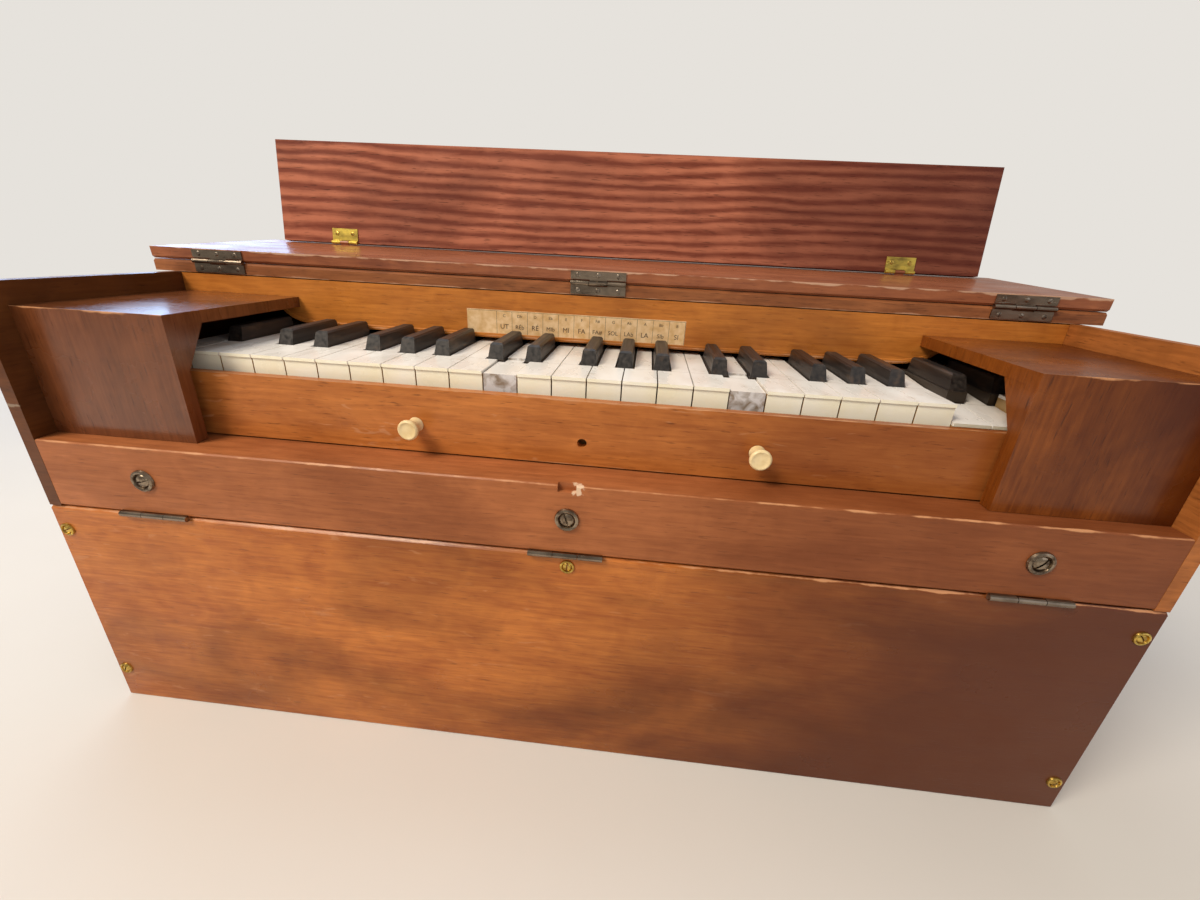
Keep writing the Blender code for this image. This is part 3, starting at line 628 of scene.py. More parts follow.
@dataclass(frozen=True)
class Mottled:
    """A plain surface in two close tones, such as turned bone, bookcloth, paper or paint.

    It gives the eye an even, slightly clouded colour, with so many spots to the metre.
    """

    name: str
    first: str
    second: str
    roughness: float
    spots: float
    bump: float = 0.1

    def surface(self) -> Surface:
        """Builds the finish.

        Returns:
            The surface, to which more may be added.
        """
        surface = Surface(self.name)
        spots = surface.pattern(Cells((self.spots, self.spots, self.spots), 3.3))
        blend = surface.add("MapRange", (spots, 0.35, 0.68))
        surface.shade({
            "Base Color": surface.add("Mix", (blend, self.first, self.second), data_type="RGBA"),
            "Roughness": surface.add("MapRange", (spots, 0.3, 0.7, self.roughness - 0.06,
                                                  self.roughness + 0.08)),
            "Normal": surface.add("Bump", {"Strength": self.bump, "Distance": 0.0002, "Height": spots})})
        return surface

    def material(self) -> bpy.types.Material:
        """Builds the finish and gives its material."""
        return self.surface().material


# Mild steel, rolled and browned with age: a dull warm grey.
STEEL = Metal("browned_steel_screw", "#9A8E80", "#5A4C40", 0.34)
# Turned brass, lacquer long gone: yellow with brown stains.
BRASS = Metal("tarnished_brass_screw", "#D8B860", "#9A7636", 0.28)
# Spun bronze cups and their screws: grey brown with a soft shine.
BRONZE = Metal("tarnished_bronze_cup", "#9A8A76", "#5A4A3C", 0.26)
# Bone turned on a lathe and polished: cream, with a gentle gloss and clouds of 6 mm.
BONE = Mottled("turned_bone_knob", "#F2DCAC", "#E2C68E", 0.32, 160.0)
# Cloth woven and glued over the folds: dark and matt. The weave is drawn 2.4 mm wide, so that it shows.
CLOTH = Mottled("woven_cloth_bellows", "#2E2620", "#4A3E34", 0.8, 420.0, 0.3)
# Laid paper, browned by light: matt, with its tone changing every 5 mm.
PAPER = Mottled("browned_paper_label", "#E9C79A", "#D2A870", 0.7, 200.0)
# Printed ink gone brown: matt and nearly black.
INK = Mottled("printed_ink", "#3A261A", "#4E3524", 0.7, 200.0)


def dress(obj: bpy.types.Object, material: bpy.types.Material, round_over: float) -> None:
    """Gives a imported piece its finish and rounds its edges.

    Args:
        obj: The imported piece.
        material: Its finish.
        round_over: The width of the rounding.
    """
    if obj.material_slots:
        for slot in obj.material_slots:
            slot.material = material
    else:
        obj.data.materials.append(material)
    bevel = obj.modifiers.new("arris", "BEVEL")
    bevel.width = round_over
    bevel.segments = 2
    bevel.limit_method = "ANGLE"
    bevel.angle_limit = math.radians(40)


def shown(name: str, bm: bmesh.types.BMesh, material: bpy.types.Material, body: str,
          smooth: bool = True) -> bpy.types.Object:
    """Turns a shape to a finished piece at the origin, riding on a body.

    Args:
        name: The piece's name.
        bm: Its shape, which is freed.
        material: Its finish.
        body: The body that it rides on.
        smooth: Whether its curved faces are shaded smooth.

    Returns:
        The piece.
    """
    bmesh.ops.recalc_face_normals(bm, faces=bm.faces)
    mesh = bpy.data.meshes.new(name)
    bm.to_mesh(mesh)
    bm.free()
    obj = bpy.data.objects.new(name, mesh)
    bpy.context.scene.collection.objects.link(obj)
    mesh.materials.append(material)
    if smooth:
        mesh.shade_smooth()
        mesh.set_sharp_from_angle(angle=math.radians(32))
    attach(obj, body)
    return obj


def loft(bm: bmesh.types.BMesh, low: list[bmesh.types.BMVert], high: list[bmesh.types.BMVert]) -> None:
    """Joins two rings by faces; a ring of one point closes to a pole.

    Args:
        bm: The shape that takes the faces.
        low: The first ring.
        high: The next ring.
    """
    sides = max(len(low), len(high))
    for i in range(sides):
        j = (i + 1) % sides
        if len(low) == 1:
            bm.faces.new((low[0], high[j], high[i]))
        elif len(high) == 1:
            bm.faces.new((low[i], low[j], high[0]))
        else:
            bm.faces.new((low[i], low[j], high[j], high[i]))


def turned(profile: list[tuple[float, float]], sides: int) -> bmesh.types.BMesh:
    """Turns a closed shape about Z.

    Args:
        profile: Its (radius, height) points.
        sides: How many sides a turn has.

    Returns:
        The shape.
    """
    bm = bmesh.new()
    rows = []
    for radius, z in profile:
        if radius < 1e-6:
            rows.append([bm.verts.new((0, 0, z))])
            continue
        turn = [2 * math.pi * i / sides for i in range(sides)]
        rows.append([bm.verts.new((radius * math.cos(a), radius * math.sin(a), z)) for a in turn])
    for low, high in zip(rows, rows[1:]):
        loft(bm, low, high)
    return bm


@dataclass(frozen=True)
class ScrewHead:
    """A slotted raised head that faces +Z, with a spun cup washer around it if it has one."""

    radius: float
    dome: float
    cup: bool = False
    slot_share: float = 0.13
    steps: int = 6
    arc: int = 16
    sides: int = 40

    def half(self, bm: bmesh.types.BMesh, side: int) -> None:
        """Builds the half of the head on one side of its slot.

        Args:
            bm: The shape that takes it.
            side: -1 or 1.
        """
        slot = self.radius * self.slot_share
        levels = [(self.radius, -self.dome)]
        for k in range(self.steps + 1):
            turn = 0.46 * math.pi * k / self.steps
            levels.append((max(self.radius * math.cos(turn), slot * 1.3), self.dome * math.sin(turn)))
        rows = []
        for r, z in levels:
            first = math.asin(slot / r)
            angles = [first + (math.pi - 2 * first) * i / self.arc for i in range(self.arc + 1)]
            rows.append([bm.verts.new((r * math.cos(a), side * r * math.sin(a), z)) for a in angles])
        for low, high in zip(rows, rows[1:]):
            loft(bm, low, high)
        bm.faces.new(rows[-1])
        bm.faces.new(rows[0])

    def shape(self) -> bmesh.types.BMesh:
        """Builds the head, the floor of its slot and its cup.

        Returns:
            The shape.
        """
        bm = bmesh.new()
        for side in (-1, 1):
            self.half(bm, side)
        r, h = self.radius, self.dome
        profiles = [[(0.0, -h), (r * 0.97, -h), (r * 0.97, -h * 0.1), (0.0, -h * 0.1)]]
        if self.cup:
            profiles.append([(r * 1.04, -h), (r * 1.60, -h), (r * 1.66, 0.0), (r * 1.56, h * 0.7),
                             (r * 1.34, h), (r * 1.16, h * 0.8), (r * 1.04, 0.0)])
        for profile in profiles:
            part = turned(profile, self.sides)
            mesh = bpy.data.meshes.new("turned_shape")
            part.to_mesh(mesh)
            part.free()
            bm.from_mesh(mesh)
            bpy.data.meshes.remove(mesh)
        bmesh.ops.recalc_face_normals(bm, faces=bm.faces)
        return bm


@dataclass
class Fasteners:
    """Every screw that shows: rows of equal heads, placed by Geometry Nodes."""

    rail_z: float = 0.2120
    rail_screws: tuple[tuple[float, float], ...] = ((-0.294, 0.3), (0.0005, 1.9), (0.290, 0.9))
    panel_screws: tuple[Triple, ...] = (
        (-0.3685, 0.1655, 0.4), (-0.3685, 0.0305, 1.2), (0.3680, 0.1640, 2.2),
        (0.3675, 0.0275, 0.7), (0.0014, 0.1755, 1.5))
    lid_hinges: Triple = (-0.328, 0.0, 0.328)
    lid_screw_pitch: float = 0.0165
    lid_screw_reach: float = 0.0058
    flap_hinges: tuple[float, float] = (-0.289, 0.289)
    flap_screw_offset: float = 0.0085
    flap_screw_reach: float = 0.0090

    def __post_init__(self) -> None:
        """Builds the tree that puts a head on each point, turned as the point says."""
        self.group = bpy.data.node_groups.new("screw_row", "GeometryNodeTree")
        face = self.group.interface
        face.new_socket("Geometry", in_out="INPUT", socket_type="NodeSocketGeometry")
        self.head = face.new_socket("Head", in_out="INPUT", socket_type="NodeSocketObject")
        self.finish = face.new_socket("Finish", in_out="INPUT", socket_type="NodeSocketMaterial")
        face.new_socket("Geometry", in_out="OUTPUT", socket_type="NodeSocketGeometry")
        source = add_node(self.group, "NodeGroupInput").outputs
        head = add_node(self.group, "GeometryNodeObjectInfo", {"Object": source["Head"]})
        turn = add_node(self.group, "GeometryNodeInputNamedAttribute", {"Name": "turn"},
                        data_type="FLOAT_VECTOR")
        heads = add_node(self.group, "GeometryNodeInstanceOnPoints", {
            "Points": source["Geometry"], "Instance": head.outputs["Geometry"],
            "Rotation": turn.outputs["Attribute"]})
        real = add_node(self.group, "GeometryNodeRealizeInstances", {"Geometry": heads})
        painted = add_node(self.group, "GeometryNodeSetMaterial",
                           {"Geometry": real, "Material": source["Finish"]})
        add_node(self.group, "NodeGroupOutput", {"Geometry": painted})

    def row(self, name: str, spots: list[Spot], head: ScrewHead, material: bpy.types.Material,
            body: str) -> bpy.types.Object:
        """Puts a head on each spot and makes one plain mesh of them.

        Args:
            name: The row's name.
            spots: Each screw's point, its lean from upright and the turn of its slot.
            head: The shape of a head.
            material: The finish.
            body: The body that the row rides on.

        Returns:
            The row.
        """
        template = bpy.data.objects.new("template", bpy.data.meshes.new("template"))
        bm = head.shape()
        bm.to_mesh(template.data)
        bm.free()
        bpy.context.scene.collection.objects.link(template)
        mesh = bpy.data.meshes.new(name)
        mesh.from_pydata([tuple(point) for point, _, _ in spots], [], [])
        turn = mesh.attributes.new("turn", "FLOAT_VECTOR", "POINT")
        for i, (_, lean, spin) in enumerate(spots):
            turn.data[i].vector = (Matrix.Rotation(lean, 3, "X") @ Matrix.Rotation(spin, 3, "Z")).to_euler()
        obj = bpy.data.objects.new(name, mesh)
        bpy.context.scene.collection.objects.link(obj)
        change = obj.modifiers.new("screws", "NODES")
        change.node_group = self.group
        change[self.head.identifier] = template
        change[self.finish.identifier] = material
        bpy.context.view_layer.update()
        final = bpy.data.meshes.new_from_object(obj.evaluated_get(bpy.context.evaluated_depsgraph_get()))
        obj.modifiers.clear()
        obj.data = final
        final.shade_smooth()
        final.set_sharp_from_angle(angle=math.radians(30))
        bpy.data.objects.remove(template, do_unlink=True)
        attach(obj, body)
        return obj

    def lid_spots(self) -> tuple[list[Spot], list[Spot]]:
        """Places the screws of the lid's three hinges.

        Returns:
            The spots on the case and the spots on the lid.
        """
        top, leaf = [], []
        for i, centre in enumerate(self.lid_hinges):
            for j, offset in enumerate((-self.lid_screw_pitch, 0.0, self.lid_screw_pitch)):
                spin = 0.7 * i + 1.1 * j
                low = at(centre + offset, NAMEBOARD_FACE - 0.0010, LID_AXIS_Z - self.lid_screw_reach)
                top.append((low, UPRIGHT, spin))
                high = in_frame(LID_AXIS, LID_REST, centre + offset, 0.0006, self.lid_screw_reach)
                leaf.append((high, UPRIGHT + LID_REST, spin + 0.5))
        return top, leaf

    def flap_spots(self) -> list[Spot]:
        """Places the screws of the flap's two hinges.

        Returns:
            The spots on the flap.
        """
        flap = []
        for centre in self.flap_hinges:
            for offset in (-self.flap_screw_offset, self.flap_screw_offset):
                point = in_frame(FLAP_AXIS, FLAP_LEAN, centre + offset, 0.0012, self.flap_screw_reach)
                flap.append((point, UPRIGHT + FLAP_LEAN, offset * 90))
        return flap

    def build(self) -> list[bpy.types.Object]:
        """Builds every row.

        Returns:
            The rows.
        """
        steel, brass, bronze = STEEL.material(), BRASS.material(), BRONZE.material()
        rail = [(at(x, -0.0004, self.rail_z), UPRIGHT, spin) for x, spin in self.rail_screws]
        panel = [(at(x, -0.0001, z), UPRIGHT, spin) for x, z, spin in self.panel_screws]
        top, leaf = self.lid_spots()
        small = ScrewHead(0.0019, 0.0005)
        return [
            self.row("rail_screws", rail, ScrewHead(0.0049, 0.0018, cup=True), bronze, "case"),
            self.row("panel_screws", panel, ScrewHead(0.0031, 0.0014, cup=True), brass, "panel"),
            self.row("top_hinge_screws", top, small, steel, "case"),
            self.row("leaf_hinge_screws", leaf, small, steel, "lid"),
            self.row("flap_hinge_screws", self.flap_spots(), ScrewHead(0.0021, 0.0005), brass, "flap")]


@dataclass
class SlipKnobs:
    """The two turned bone knobs on the slip, whose axes follow its slight skew."""

    profile: tuple[tuple[float, float], ...] = (
        (0.0, 0.0), (0.0052, 0.0), (0.0047, 0.0012), (0.0043, 0.0030), (0.0044, 0.0052),
        (0.0052, 0.0078), (0.0064, 0.0098), (0.0070, 0.0112), (0.0070, 0.0122),
        (0.0066, 0.0129), (0.0058, 0.01335), (0.0051, 0.0132), (0.0046, 0.0129),
        (0.0030, 0.01275), (0.0012, 0.0127), (0.0, 0.0127))
    skew: float = math.radians(-0.62)
    sides: int = 48

    def build(self) -> list[bpy.types.Object]:
        """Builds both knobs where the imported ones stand.

        Returns:
            The knobs.
        """
        bone = BONE.material()
        pieces = []
        for name in ("left_slip_knob", "right_slip_knob"):
            low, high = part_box(name)
            centre = (Vector(low) + Vector(high)) / 2
            bm = turned(list(self.profile), self.sides)
            place = (Matrix.Translation((centre.x, high[1] - 0.0001, centre.z))
                     @ Matrix.Rotation(self.skew, 4, "Z") @ Matrix.Rotation(UPRIGHT, 4, "X"))
            bmesh.ops.transform(bm, matrix=place, verts=bm.verts)
            piece = shown(f"{name}_turned", bm, bone, "carriage")
            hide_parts(name)
            pieces.append(piece)
        return pieces


@dataclass
class Bellows:
    """The pleated wedge under the reed pan, which is drawn flat as its board rises."""

    ribs: int = 6
    steps: int = 8
    fold: float = 0.012
    half: float = 0.325
    depth: float = 0.244
    near: float = 0.0211
    across: int = 24
    aside: int = 8

    def outline(self, drawn: float) -> list[tuple[float, float]]:
        """Gives one turn around the wedge.

        Args:
            drawn: How far this turn is drawn in between two folds.

        Returns:
            Its points: the place across, and the distance from the apex.
        """
        side, far = self.half - drawn, self.near + self.depth - drawn
        points = [(-side + 2 * side * k / self.across, self.near) for k in range(self.across + 1)]
        points += [(side, self.near + (far - self.near) * k / self.aside) for k in range(1, self.aside + 1)]
        points += [(side - 2 * side * k / self.across, far) for k in range(1, self.across + 1)]
        points += [(-side, far - (far - self.near) * k / self.aside) for k in range(1, self.aside)]
        return points

    def build(self) -> list[bpy.types.Object]:
        """Builds the pleats from the pan down to the open board.

        Returns:
            The bellows.
        """
        apex = at(0.0, 0.0500 - self.near, 0.2177)
        bm = bmesh.new()
        rows = []
        count = self.ribs * self.steps
        for i in range(count + 1):
            turn = -BELLOWS_OPEN * i / count
            drawn = self.fold * (0.5 - 0.5 * math.cos(2 * math.pi * i / self.steps))
            rows.append([bm.verts.new((x, apex.y + r * math.cos(turn), apex.z + r * math.sin(turn)))
                         for x, r in self.outline(drawn)])
        for low, high in zip(rows, rows[1:]):
            loft(bm, low, high)
        bm.faces.new(rows[0])
        bm.faces.new(rows[-1])
        piece = shown("pleated_bellows", bm, CLOTH.material(), "case")
        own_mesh(piece)
        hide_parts("wind_bellows")
        return [piece]


@dataclass
class NoteLabel:
    """The paper strip of note names on the nameboard, with its printed grid and words."""

    left: float = -0.1110
    right: float = 0.0742
    low: float = 0.3016
    high: float = 0.3222
    first: float = -0.0853
    cell: float = 0.01327
    half_line: float = 0.00012
    ink_depth: float = 0.00008
    names: tuple[str, ...] = (
        "UT", "RÉb", "RÉ", "MIb", "MI", "FA", "FA#", "SOL", "LAb", "LA", "SIb", "SI")
    letters: tuple[str, ...] = ("C", "Db", "D", "Eb", "E", "F", "F#", "G", "Ab", "A", "Bb", "B")

    @staticmethod
    def bar(bm: bmesh.types.BMesh, low: Vector, high: Vector) -> None:
        """Adds a box between two corners.

        Args:
            bm: The shape that takes it.
            low: The lower left corner in front.
            high: The opposite corner.
        """
        place = Matrix.Translation((low + high) / 2) @ Matrix.Diagonal((*(high - low), 1.0))
        bmesh.ops.create_cube(bm, size=1.0, matrix=place)

    def grid(self, front: float) -> bmesh.types.BMesh:
        """Draws the lines between the cells and along both edges.

        Args:
            front: The depth of the lines' face.

        Returns:
            The lines.
        """
        lines = bmesh.new()
        back = front + self.ink_depth
        for i in range(len(self.names) + 1):
            x = min(self.first + i * self.cell, self.right - 0.0003)
            self.bar(lines, at(x - self.half_line, front, self.low + 0.0008),
                     at(x + self.half_line, back, self.high - 0.0008))
        for z in (self.low + 0.0007, self.high - 0.0009):
            self.bar(lines, at(self.left + 0.0006, front, z), at(self.right - 0.0004, back, z + 0.0002))
        return lines

    def words(self, front: float) -> bmesh.types.BMesh:
        """Sets a note's two names in each cell.

        Args:
            front: The depth of the letters' middle.

        Returns:
            The letters.
        """
        entries = []
        for i, (name, letter) in enumerate(zip(self.names, self.letters)):
            x = self.first + (i + 0.5) * self.cell
            entries.append((name, x, self.low + 0.0070, 0.0056 if len(name) < 3 else 0.0048))
            entries.append((letter, x, self.high - 0.0045, 0.0034))
        bm = bmesh.new()
        for text, x, z, height in entries:
            curve = bpy.data.curves.new("letters", "FONT")
            curve.body, curve.size = text, height
            curve.align_x, curve.align_y = "CENTER", "CENTER"
            curve.extrude = SKIN
            curve.resolution_u = 3
            holder = bpy.data.objects.new("letters", curve)
            bpy.context.scene.collection.objects.link(holder)
            holder.matrix_world = Matrix.Translation(at(x, front, z)) @ Matrix.Rotation(UPRIGHT, 4, "X")
            bpy.context.view_layer.update()
            evaluated = holder.evaluated_get(bpy.context.evaluated_depsgraph_get())
            mesh = bpy.data.meshes.new_from_object(evaluated)
            mesh.transform(holder.matrix_world)
            bm.from_mesh(mesh)
            bpy.data.meshes.remove(mesh)
            bpy.data.objects.remove(holder, do_unlink=True)
            bpy.data.curves.remove(curve)
        return bm

    def build(self) -> list[bpy.types.Object]:
        """Builds the strip, its grid and its words.

        Returns:
            The three pieces.
        """
        paper, ink = PAPER.material(), INK.material()
        front = NAMEBOARD_FACE - 0.00026
        strip = bmesh.new()
        self.bar(strip, at(self.left, NAMEBOARD_FACE - 0.0002, self.low),
                 at(self.right, NAMEBOARD_FACE - SKIN, self.high))
        return [shown("note_label", strip, paper, "case", smooth=False),
                shown("note_label_lines", self.grid(front), ink, "case", smooth=False),
                shown("note_names", self.words(front), ink, "case", smooth=False)]


@dataclass
class Casework:
    """The boards of the case, the lid, the carriage and the pump, with their hinge metal."""

    round_over: float = 0.0004
    leaf_plate: float = 0.0014
    flap_plate: float = 0.0020

    def finishes(self) -> dict[str, Wood]:
        """Gives the finish of each board.

        Returns:
            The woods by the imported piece's name.
        """
        lid_offset = (LID_AXIS.y * math.cos(LID_REST) + LID_AXIS.z * math.sin(LID_REST)
                      + self.leaf_plate)
        flap_offset = (FLAP_AXIS.y * math.cos(FLAP_LEAN) + FLAP_AXIS.z * math.sin(FLAP_LEAN)
                       + self.flap_plate)
        in_front = Plate(0.0, -HALF_DEPTH - SKIN)
        return {
            # Mahogany with dark pores, and painted shade that darkens its left side: the grain follows the
            # case's depth.
            "carcass": Wood("stained_mahogany_side", "#BC7238", "#8C5024", Grain.Y, 0.42, blotch=0.4,
                            blotch_and_shade_colour="#301408", shade=PaintedShade(0.20, -0.20, 0.75), worn="#8A7562",
                            arrises=(Arris(0.0, 0.3380, 0.0030), Arris(0.0, 0.26, 0.0010))),
            # Mahogany with a short splinter lost from its upper arris, and painted shade that darkens its
            # right side.
            "front_rail": Wood("stained_mahogany_rail", "#B87042", "#92542E", Grain.X, 0.40, pores=0.35,
                               blotch=0.4, blotch_and_shade_colour="#5E280C", shade=PaintedShade(0.05, 0.48, 0.7),
                               chip=Chip(0.0060, RAIL_TOP - 0.0016, 0.0048), plate=in_front,
                               arrises=(Arris(0.0004, RAIL_TOP - 0.0004, 0.0009),)),
            # Oak with a few flecks under a glossier varnish, and painted shade that darkens it to the lower
            # right.
            "front_panel": Wood("varnished_oak_panel", "#CB7C38", "#9C5222", Grain.X, 0.34, flecks=0.30,
                                coat=0.35, blotch_and_shade_colour="#552407", blotch=0.55, plate=in_front,
                                pores=0.4, shade=PaintedShade(0.16, 0.46, 0.95, 0.9),
                                arrises=(Arris(0.0010, 0.1838, 0.0010),)),
            # Walnut blocks beside the keys, grain upright: the darkest and glossiest wood.
            "left_cheek": Wood("polished_walnut_left_cheek", "#7E4828", "#5C3218", Grain.Z, 0.24,
                               coat=1.2, arrises=(Arris(0.0148, 0.3229, 0.0010),)),
            # The right block has painted shade that darkens its right-hand part.
            "right_cheek": Wood("polished_walnut_right_cheek", "#92501C", "#66300A", Grain.Z, 0.30,
                                coat=0.5, blotch=0.5, blotch_and_shade_colour="#4A1C04",
                                shade=PaintedShade(0.37, 0.44, 0.9), arrises=(Arris(0.0148, 0.3229, 0.0010),)),
            # Beech behind the keys: warm and even, with a soft gloss.
            "nameboard": Wood("varnished_beech_nameboard", "#D28438", "#A86024", Grain.X, 0.34, coat=0.3,
                              pores=0.3, arrises=(Arris(0.1450, 0.3006, 0.0009),)),
            # Mahogany behind the hinges, dulled by use.
            "rear_top": Wood("stained_mahogany_top", "#A8693F", "#6E4026", Grain.X, 0.44, worn="#B98A6C",
                             plate=Plate(0.0, NAMEBOARD_FACE - HALF_DEPTH - SKIN),
                             arrises=(Arris(NAMEBOARD_FACE, 0.3383, 0.0010),)),
            # Mahogany leaf, whose inner face keeps more of its polish.
            "lid_leaf": Wood("polished_mahogany_leaf", "#B06C46", "#7E4730", Grain.X, 0.32, worn="#C9A084",
                             coat=0.5, plate=Plate(LID_REST, lid_offset),
                             arrises=(Arris(0.1452, 0.3577, 0.0014),), blotch=0.25),
            # Bare walnut with strong rings and an open, rough grain, and painted shade that darkens its
            # right side.
            "lid_flap": Wood("bare_walnut_flap", "#B87054", "#7A3C2A", Grain.X, 0.60, bump=0.8, coat=0.0,
                             rings=30.0, blotch=0.45, blotch_and_shade_colour="#4A1C14",
                             shade=PaintedShade(0.20, 0.50, 0.85),
                             plate=Plate(FLAP_LEAN, flap_offset, "#D8BE5A"), worn="#C68A6C"),
            # Planed limewood inside: pale, matt and unfinished.
            "key_carriage": Wood("planed_limewood_carriage", "#C9A26A", "#9A7242", Grain.X, 0.6,
                                 pores=0.2, coat=0.0),
            # Quartered oak with clear flecks, worn on both arrises, and painted shade that darkens its
            # right side.
            "key_slip": Wood("varnished_oak_slip", "#CE803E", "#A25C28", Grain.X, 0.36, flecks=0.6,
                             coat=0.25, blotch_and_shade_colour="#6A2C0A", shade=PaintedShade(0.05, 0.42, 0.65),
                             arrises=(Arris(0.0298, 0.2829, 0.0010), Arris(0.0298, 0.2378, 0.0008))),
            # Planed pine: pale and matt.
            "reed_pan": Wood("planed_pine_pan", "#C29A66", "#94703F", Grain.X, 0.6, pores=0.2, coat=0.0),
            # Planed poplar, greyed by dust: a dull brown.
            "bellows_board": Wood("planed_poplar_board", "#8A6440", "#5E4026", Grain.X, 0.6, pores=0.3,
                                  coat=0.0),
        }

    def build(self, nodes: dict[str, bpy.types.Object]) -> list[bpy.types.Object]:
        """Dresses every board.

        Args:
            nodes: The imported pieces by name.

        Returns:
            The boards.
        """
        boards = []
        for name, wood in self.finishes().items():
            dress(nodes[name], wood.material(), self.round_over)
            boards.append(nodes[name])
        return boards


@dataclass
class Keyboard:
    """The keys, of which two have lost their front cover and two have dropped."""

    natural_arris: float = 0.0003
    sharp_arris: float = 0.0016
    bared: tuple[str, ...] = ("key_d4", "key_d5")
    dropped: tuple[str, ...] = ("key_c6", "key_d6")
    others: tuple[str, ...] = ("key_carriage", "key_slip")

    def build(self, nodes: dict[str, bpy.types.Object]) -> list[bpy.types.Object]:
        """Dresses every key.

        Args:
            nodes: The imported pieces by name.

        Returns:
            The keys.
        """
        whole = Ivory("polished_ivory_key").material()
        bare = Ivory("torn_limewood_key", bared=True).material()
        sunk = Ivory("polished_ivory_dropped_key", drop=KEY_DROP).material()
        special = dict.fromkeys(self.bared, bare) | dict.fromkeys(self.dropped, sunk)
        ebony = Ebony().material()
        keys = []
        for name, node in nodes.items():
            if not name.startswith("key_") or name in self.others:
                continue
            if name.endswith("_sharp"):
                dress(node, ebony, self.sharp_arris)
            else:
                dress(node, special.get(name, whole), self.natural_arris)
            keys.append(node)
        return keys


@dataclass(frozen=True)
class Lamp:
    """A soft square lamp: where it stands, what it looks at, its side, power and colour."""

    name: str
    place: Triple
    aim: Triple
    side: float
    power: float
    colour: str

    def build(self) -> None:
        """Hangs the lamp, unseen by the camera."""
        data = bpy.data.lights.new(self.name, "AREA")
        data.size, data.energy = self.side, self.power
        data.color = linear(self.colour)[:3]
        light = bpy.data.objects.new(self.name, data)
        bpy.context.scene.collection.objects.link(light)
        light.location = self.place
        toward = Vector(self.aim) - Vector(self.place)
        light.rotation_euler = toward.to_track_quat("-Z", "Y").to_euler()
        light.visible_camera = False


@dataclass
class Viewpoint:
    """The camera at the photograph's place, as its straight lines gave it."""

    place: Triple = (0.04036586, -0.27388791 - HALF_DEPTH, 0.37585481)
    right: Triple = (0.99427113, 0.09542769, 0.04815048)
    forward: Triple = (-0.0699393, 0.92148529, -0.38206446)
    focal_pixels: float = 491.806
    photo_width: float = 1200.0
    sensor: float = 36.0

    def build(self) -> None:
        """Sets up the camera."""
        data = bpy.data.cameras.new("camera")
        data.sensor_fit = "HORIZONTAL"
        data.sensor_width = self.sensor
        data.lens = self.focal_pixels * self.sensor / self.photo_width
        data.clip_start = 0.02
        camera = bpy.data.objects.new("camera", data)
        bpy.context.scene.collection.objects.link(camera)
        right, forward = Vector(self.right), Vector(self.forward)
        turn = Matrix((right, right.cross(forward), -forward)).transposed().to_4x4()
        camera.matrix_world = Matrix.Translation(self.place) @ turn
        bpy.context.scene.camera = camera


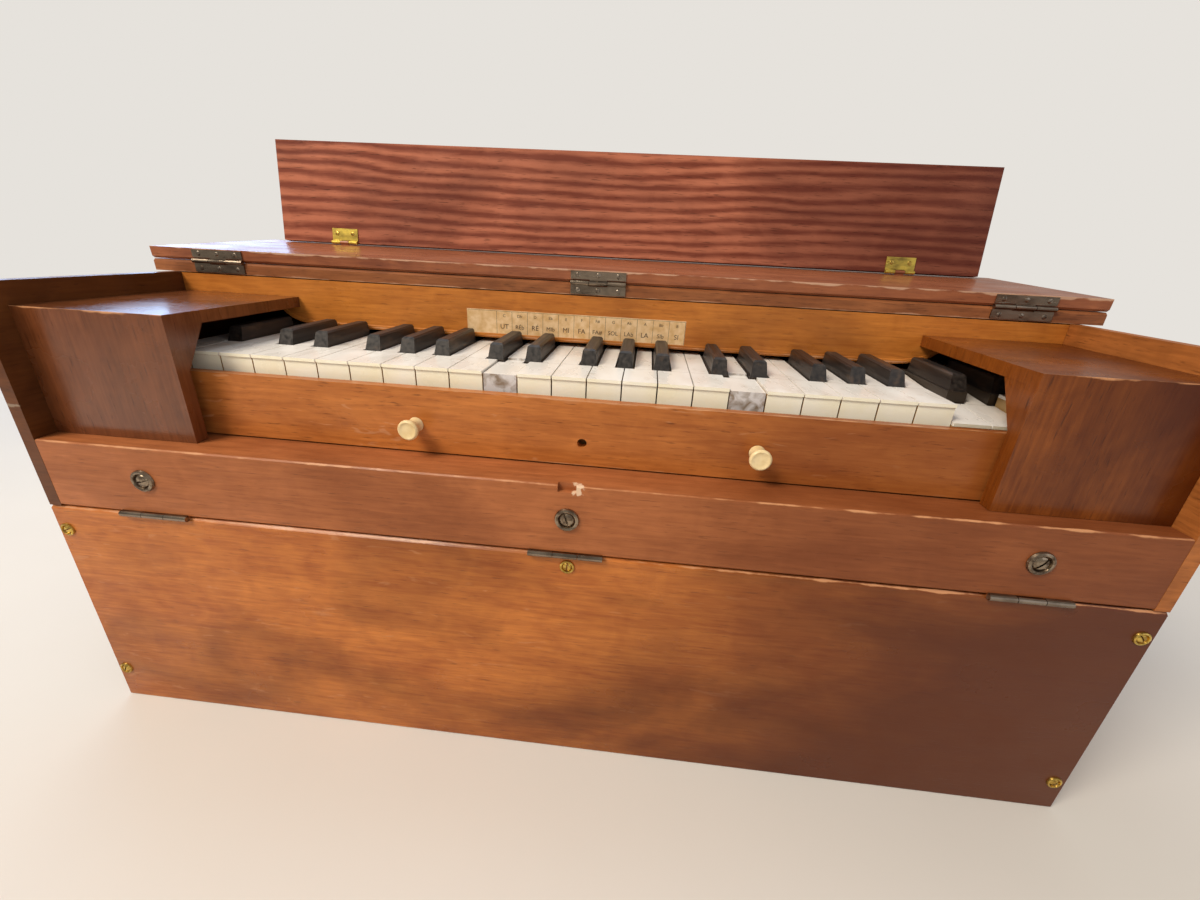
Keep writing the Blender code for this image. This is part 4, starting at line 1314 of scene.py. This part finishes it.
@dataclass
class Studio:
    """The plain floor and backdrop, the lamps and the camera."""

    backdrop: str = "#E8E4DE"
    backdrop_strength: float = 0.98
    world_light: float = 0.48
    fade_start: float = 0.7
    fade_end: float = 2.2
    floor_half: float = 8.0
    lamps: tuple[Lamp, ...] = (
        Lamp("key_light", (-1.2, -1.2, 2.0), (0.0, 0.0, 0.25), 0.9, 50.0, "#FFF3E2"),
        Lamp("fill_light", (1.6, -1.4, 1.2), (0.0, 0.0, 0.25), 1.6, 5.0, "#F2F4FF"),
        Lamp("top_light", (-0.3, 0.9, 2.0), (0.0, 0.0, 0.30), 1.4, 12.0, "#EAF1FF"),
        Lamp("window_light", (-1.75, 1.30, 0.62), (-0.25, 0.0, 0.32), 0.9, 9.0, "#B4D2FF"))

    def floor_paint(self) -> bpy.types.Material:
        """Builds the floor's paint: pale and matt, running into the backdrop far away.

        Returns:
            The material.
        """
        surface = Mottled("matt_floor_paint", "#DEDAD4", "#E2DED8", 0.75, 3.0, 0.0).surface()
        distance = surface.add("VectorMath", (surface.coords,), operation="LENGTH")
        fade = surface.add("MapRange", (distance, self.fade_start, self.fade_end))
        path = surface.add("LightPath").outputs["Is Camera Ray"]
        far = surface.add("Math", (fade, path), operation="MULTIPLY")
        glow = surface.add("Emission", {"Color": self.backdrop, "Strength": self.backdrop_strength})
        blend = surface.add("MixShader", (far, surface.shader, glow))
        feed_node(surface.tree, surface.tree.nodes["Material Output"], {"Surface": blend})
        return surface.material

    def floor(self) -> bpy.types.Object:
        """Lays the floor.

        Returns:
            The floor.
        """
        mesh = bpy.data.meshes.new("floor")
        bm = bmesh.new()
        bmesh.ops.create_grid(bm, x_segments=1, y_segments=1, size=self.floor_half)
        bm.to_mesh(mesh)
        bm.free()
        floor = bpy.data.objects.new("floor", mesh)
        bpy.context.scene.collection.objects.link(floor)
        mesh.materials.append(self.floor_paint())
        return floor

    def hang_backdrop(self) -> None:
        """Makes the world: a pale tone for the camera and a plain soft light for the rest."""
        world = bpy.data.worlds.new("studio")
        bpy.context.scene.world = world
        world.use_nodes = True
        tree = world.node_tree
        path = add_node(tree, "ShaderNodeLightPath").outputs["Is Camera Ray"]
        strength = add_node(tree, "ShaderNodeMapRange", {
            "Value": path, "To Min": self.world_light, "To Max": self.backdrop_strength})
        feed_node(tree, tree.nodes["Background"], {"Color": self.backdrop, "Strength": strength})

    def build(self) -> list[bpy.types.Object]:
        """Sets up the whole studio.

        Returns:
            The floor, its only piece that shows.
        """
        bpy.context.scene.view_settings.view_transform = "Standard"
        floor = self.floor()
        self.hang_backdrop()
        for lamp in self.lamps:
            lamp.build()
        Viewpoint().build()
        return [floor]


def report(pieces: list[bpy.types.Object]) -> None:
    """Logs each piece with its count of faces."""
    for piece in pieces:
        LOG.info("%s: %d faces", piece.name, len(piece.data.polygons))


def main() -> None:
    """Builds the sub-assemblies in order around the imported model."""
    logging.basicConfig(level=logging.INFO)
    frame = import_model()
    report(Casework().build(frame["nodes"]))
    report(Keyboard().build(frame["nodes"]))
    for assembly in (Fasteners(), SlipKnobs(), Bellows(), NoteLabel(), Studio()):
        report(assembly.build())


if __name__ == "__main__":
    main()
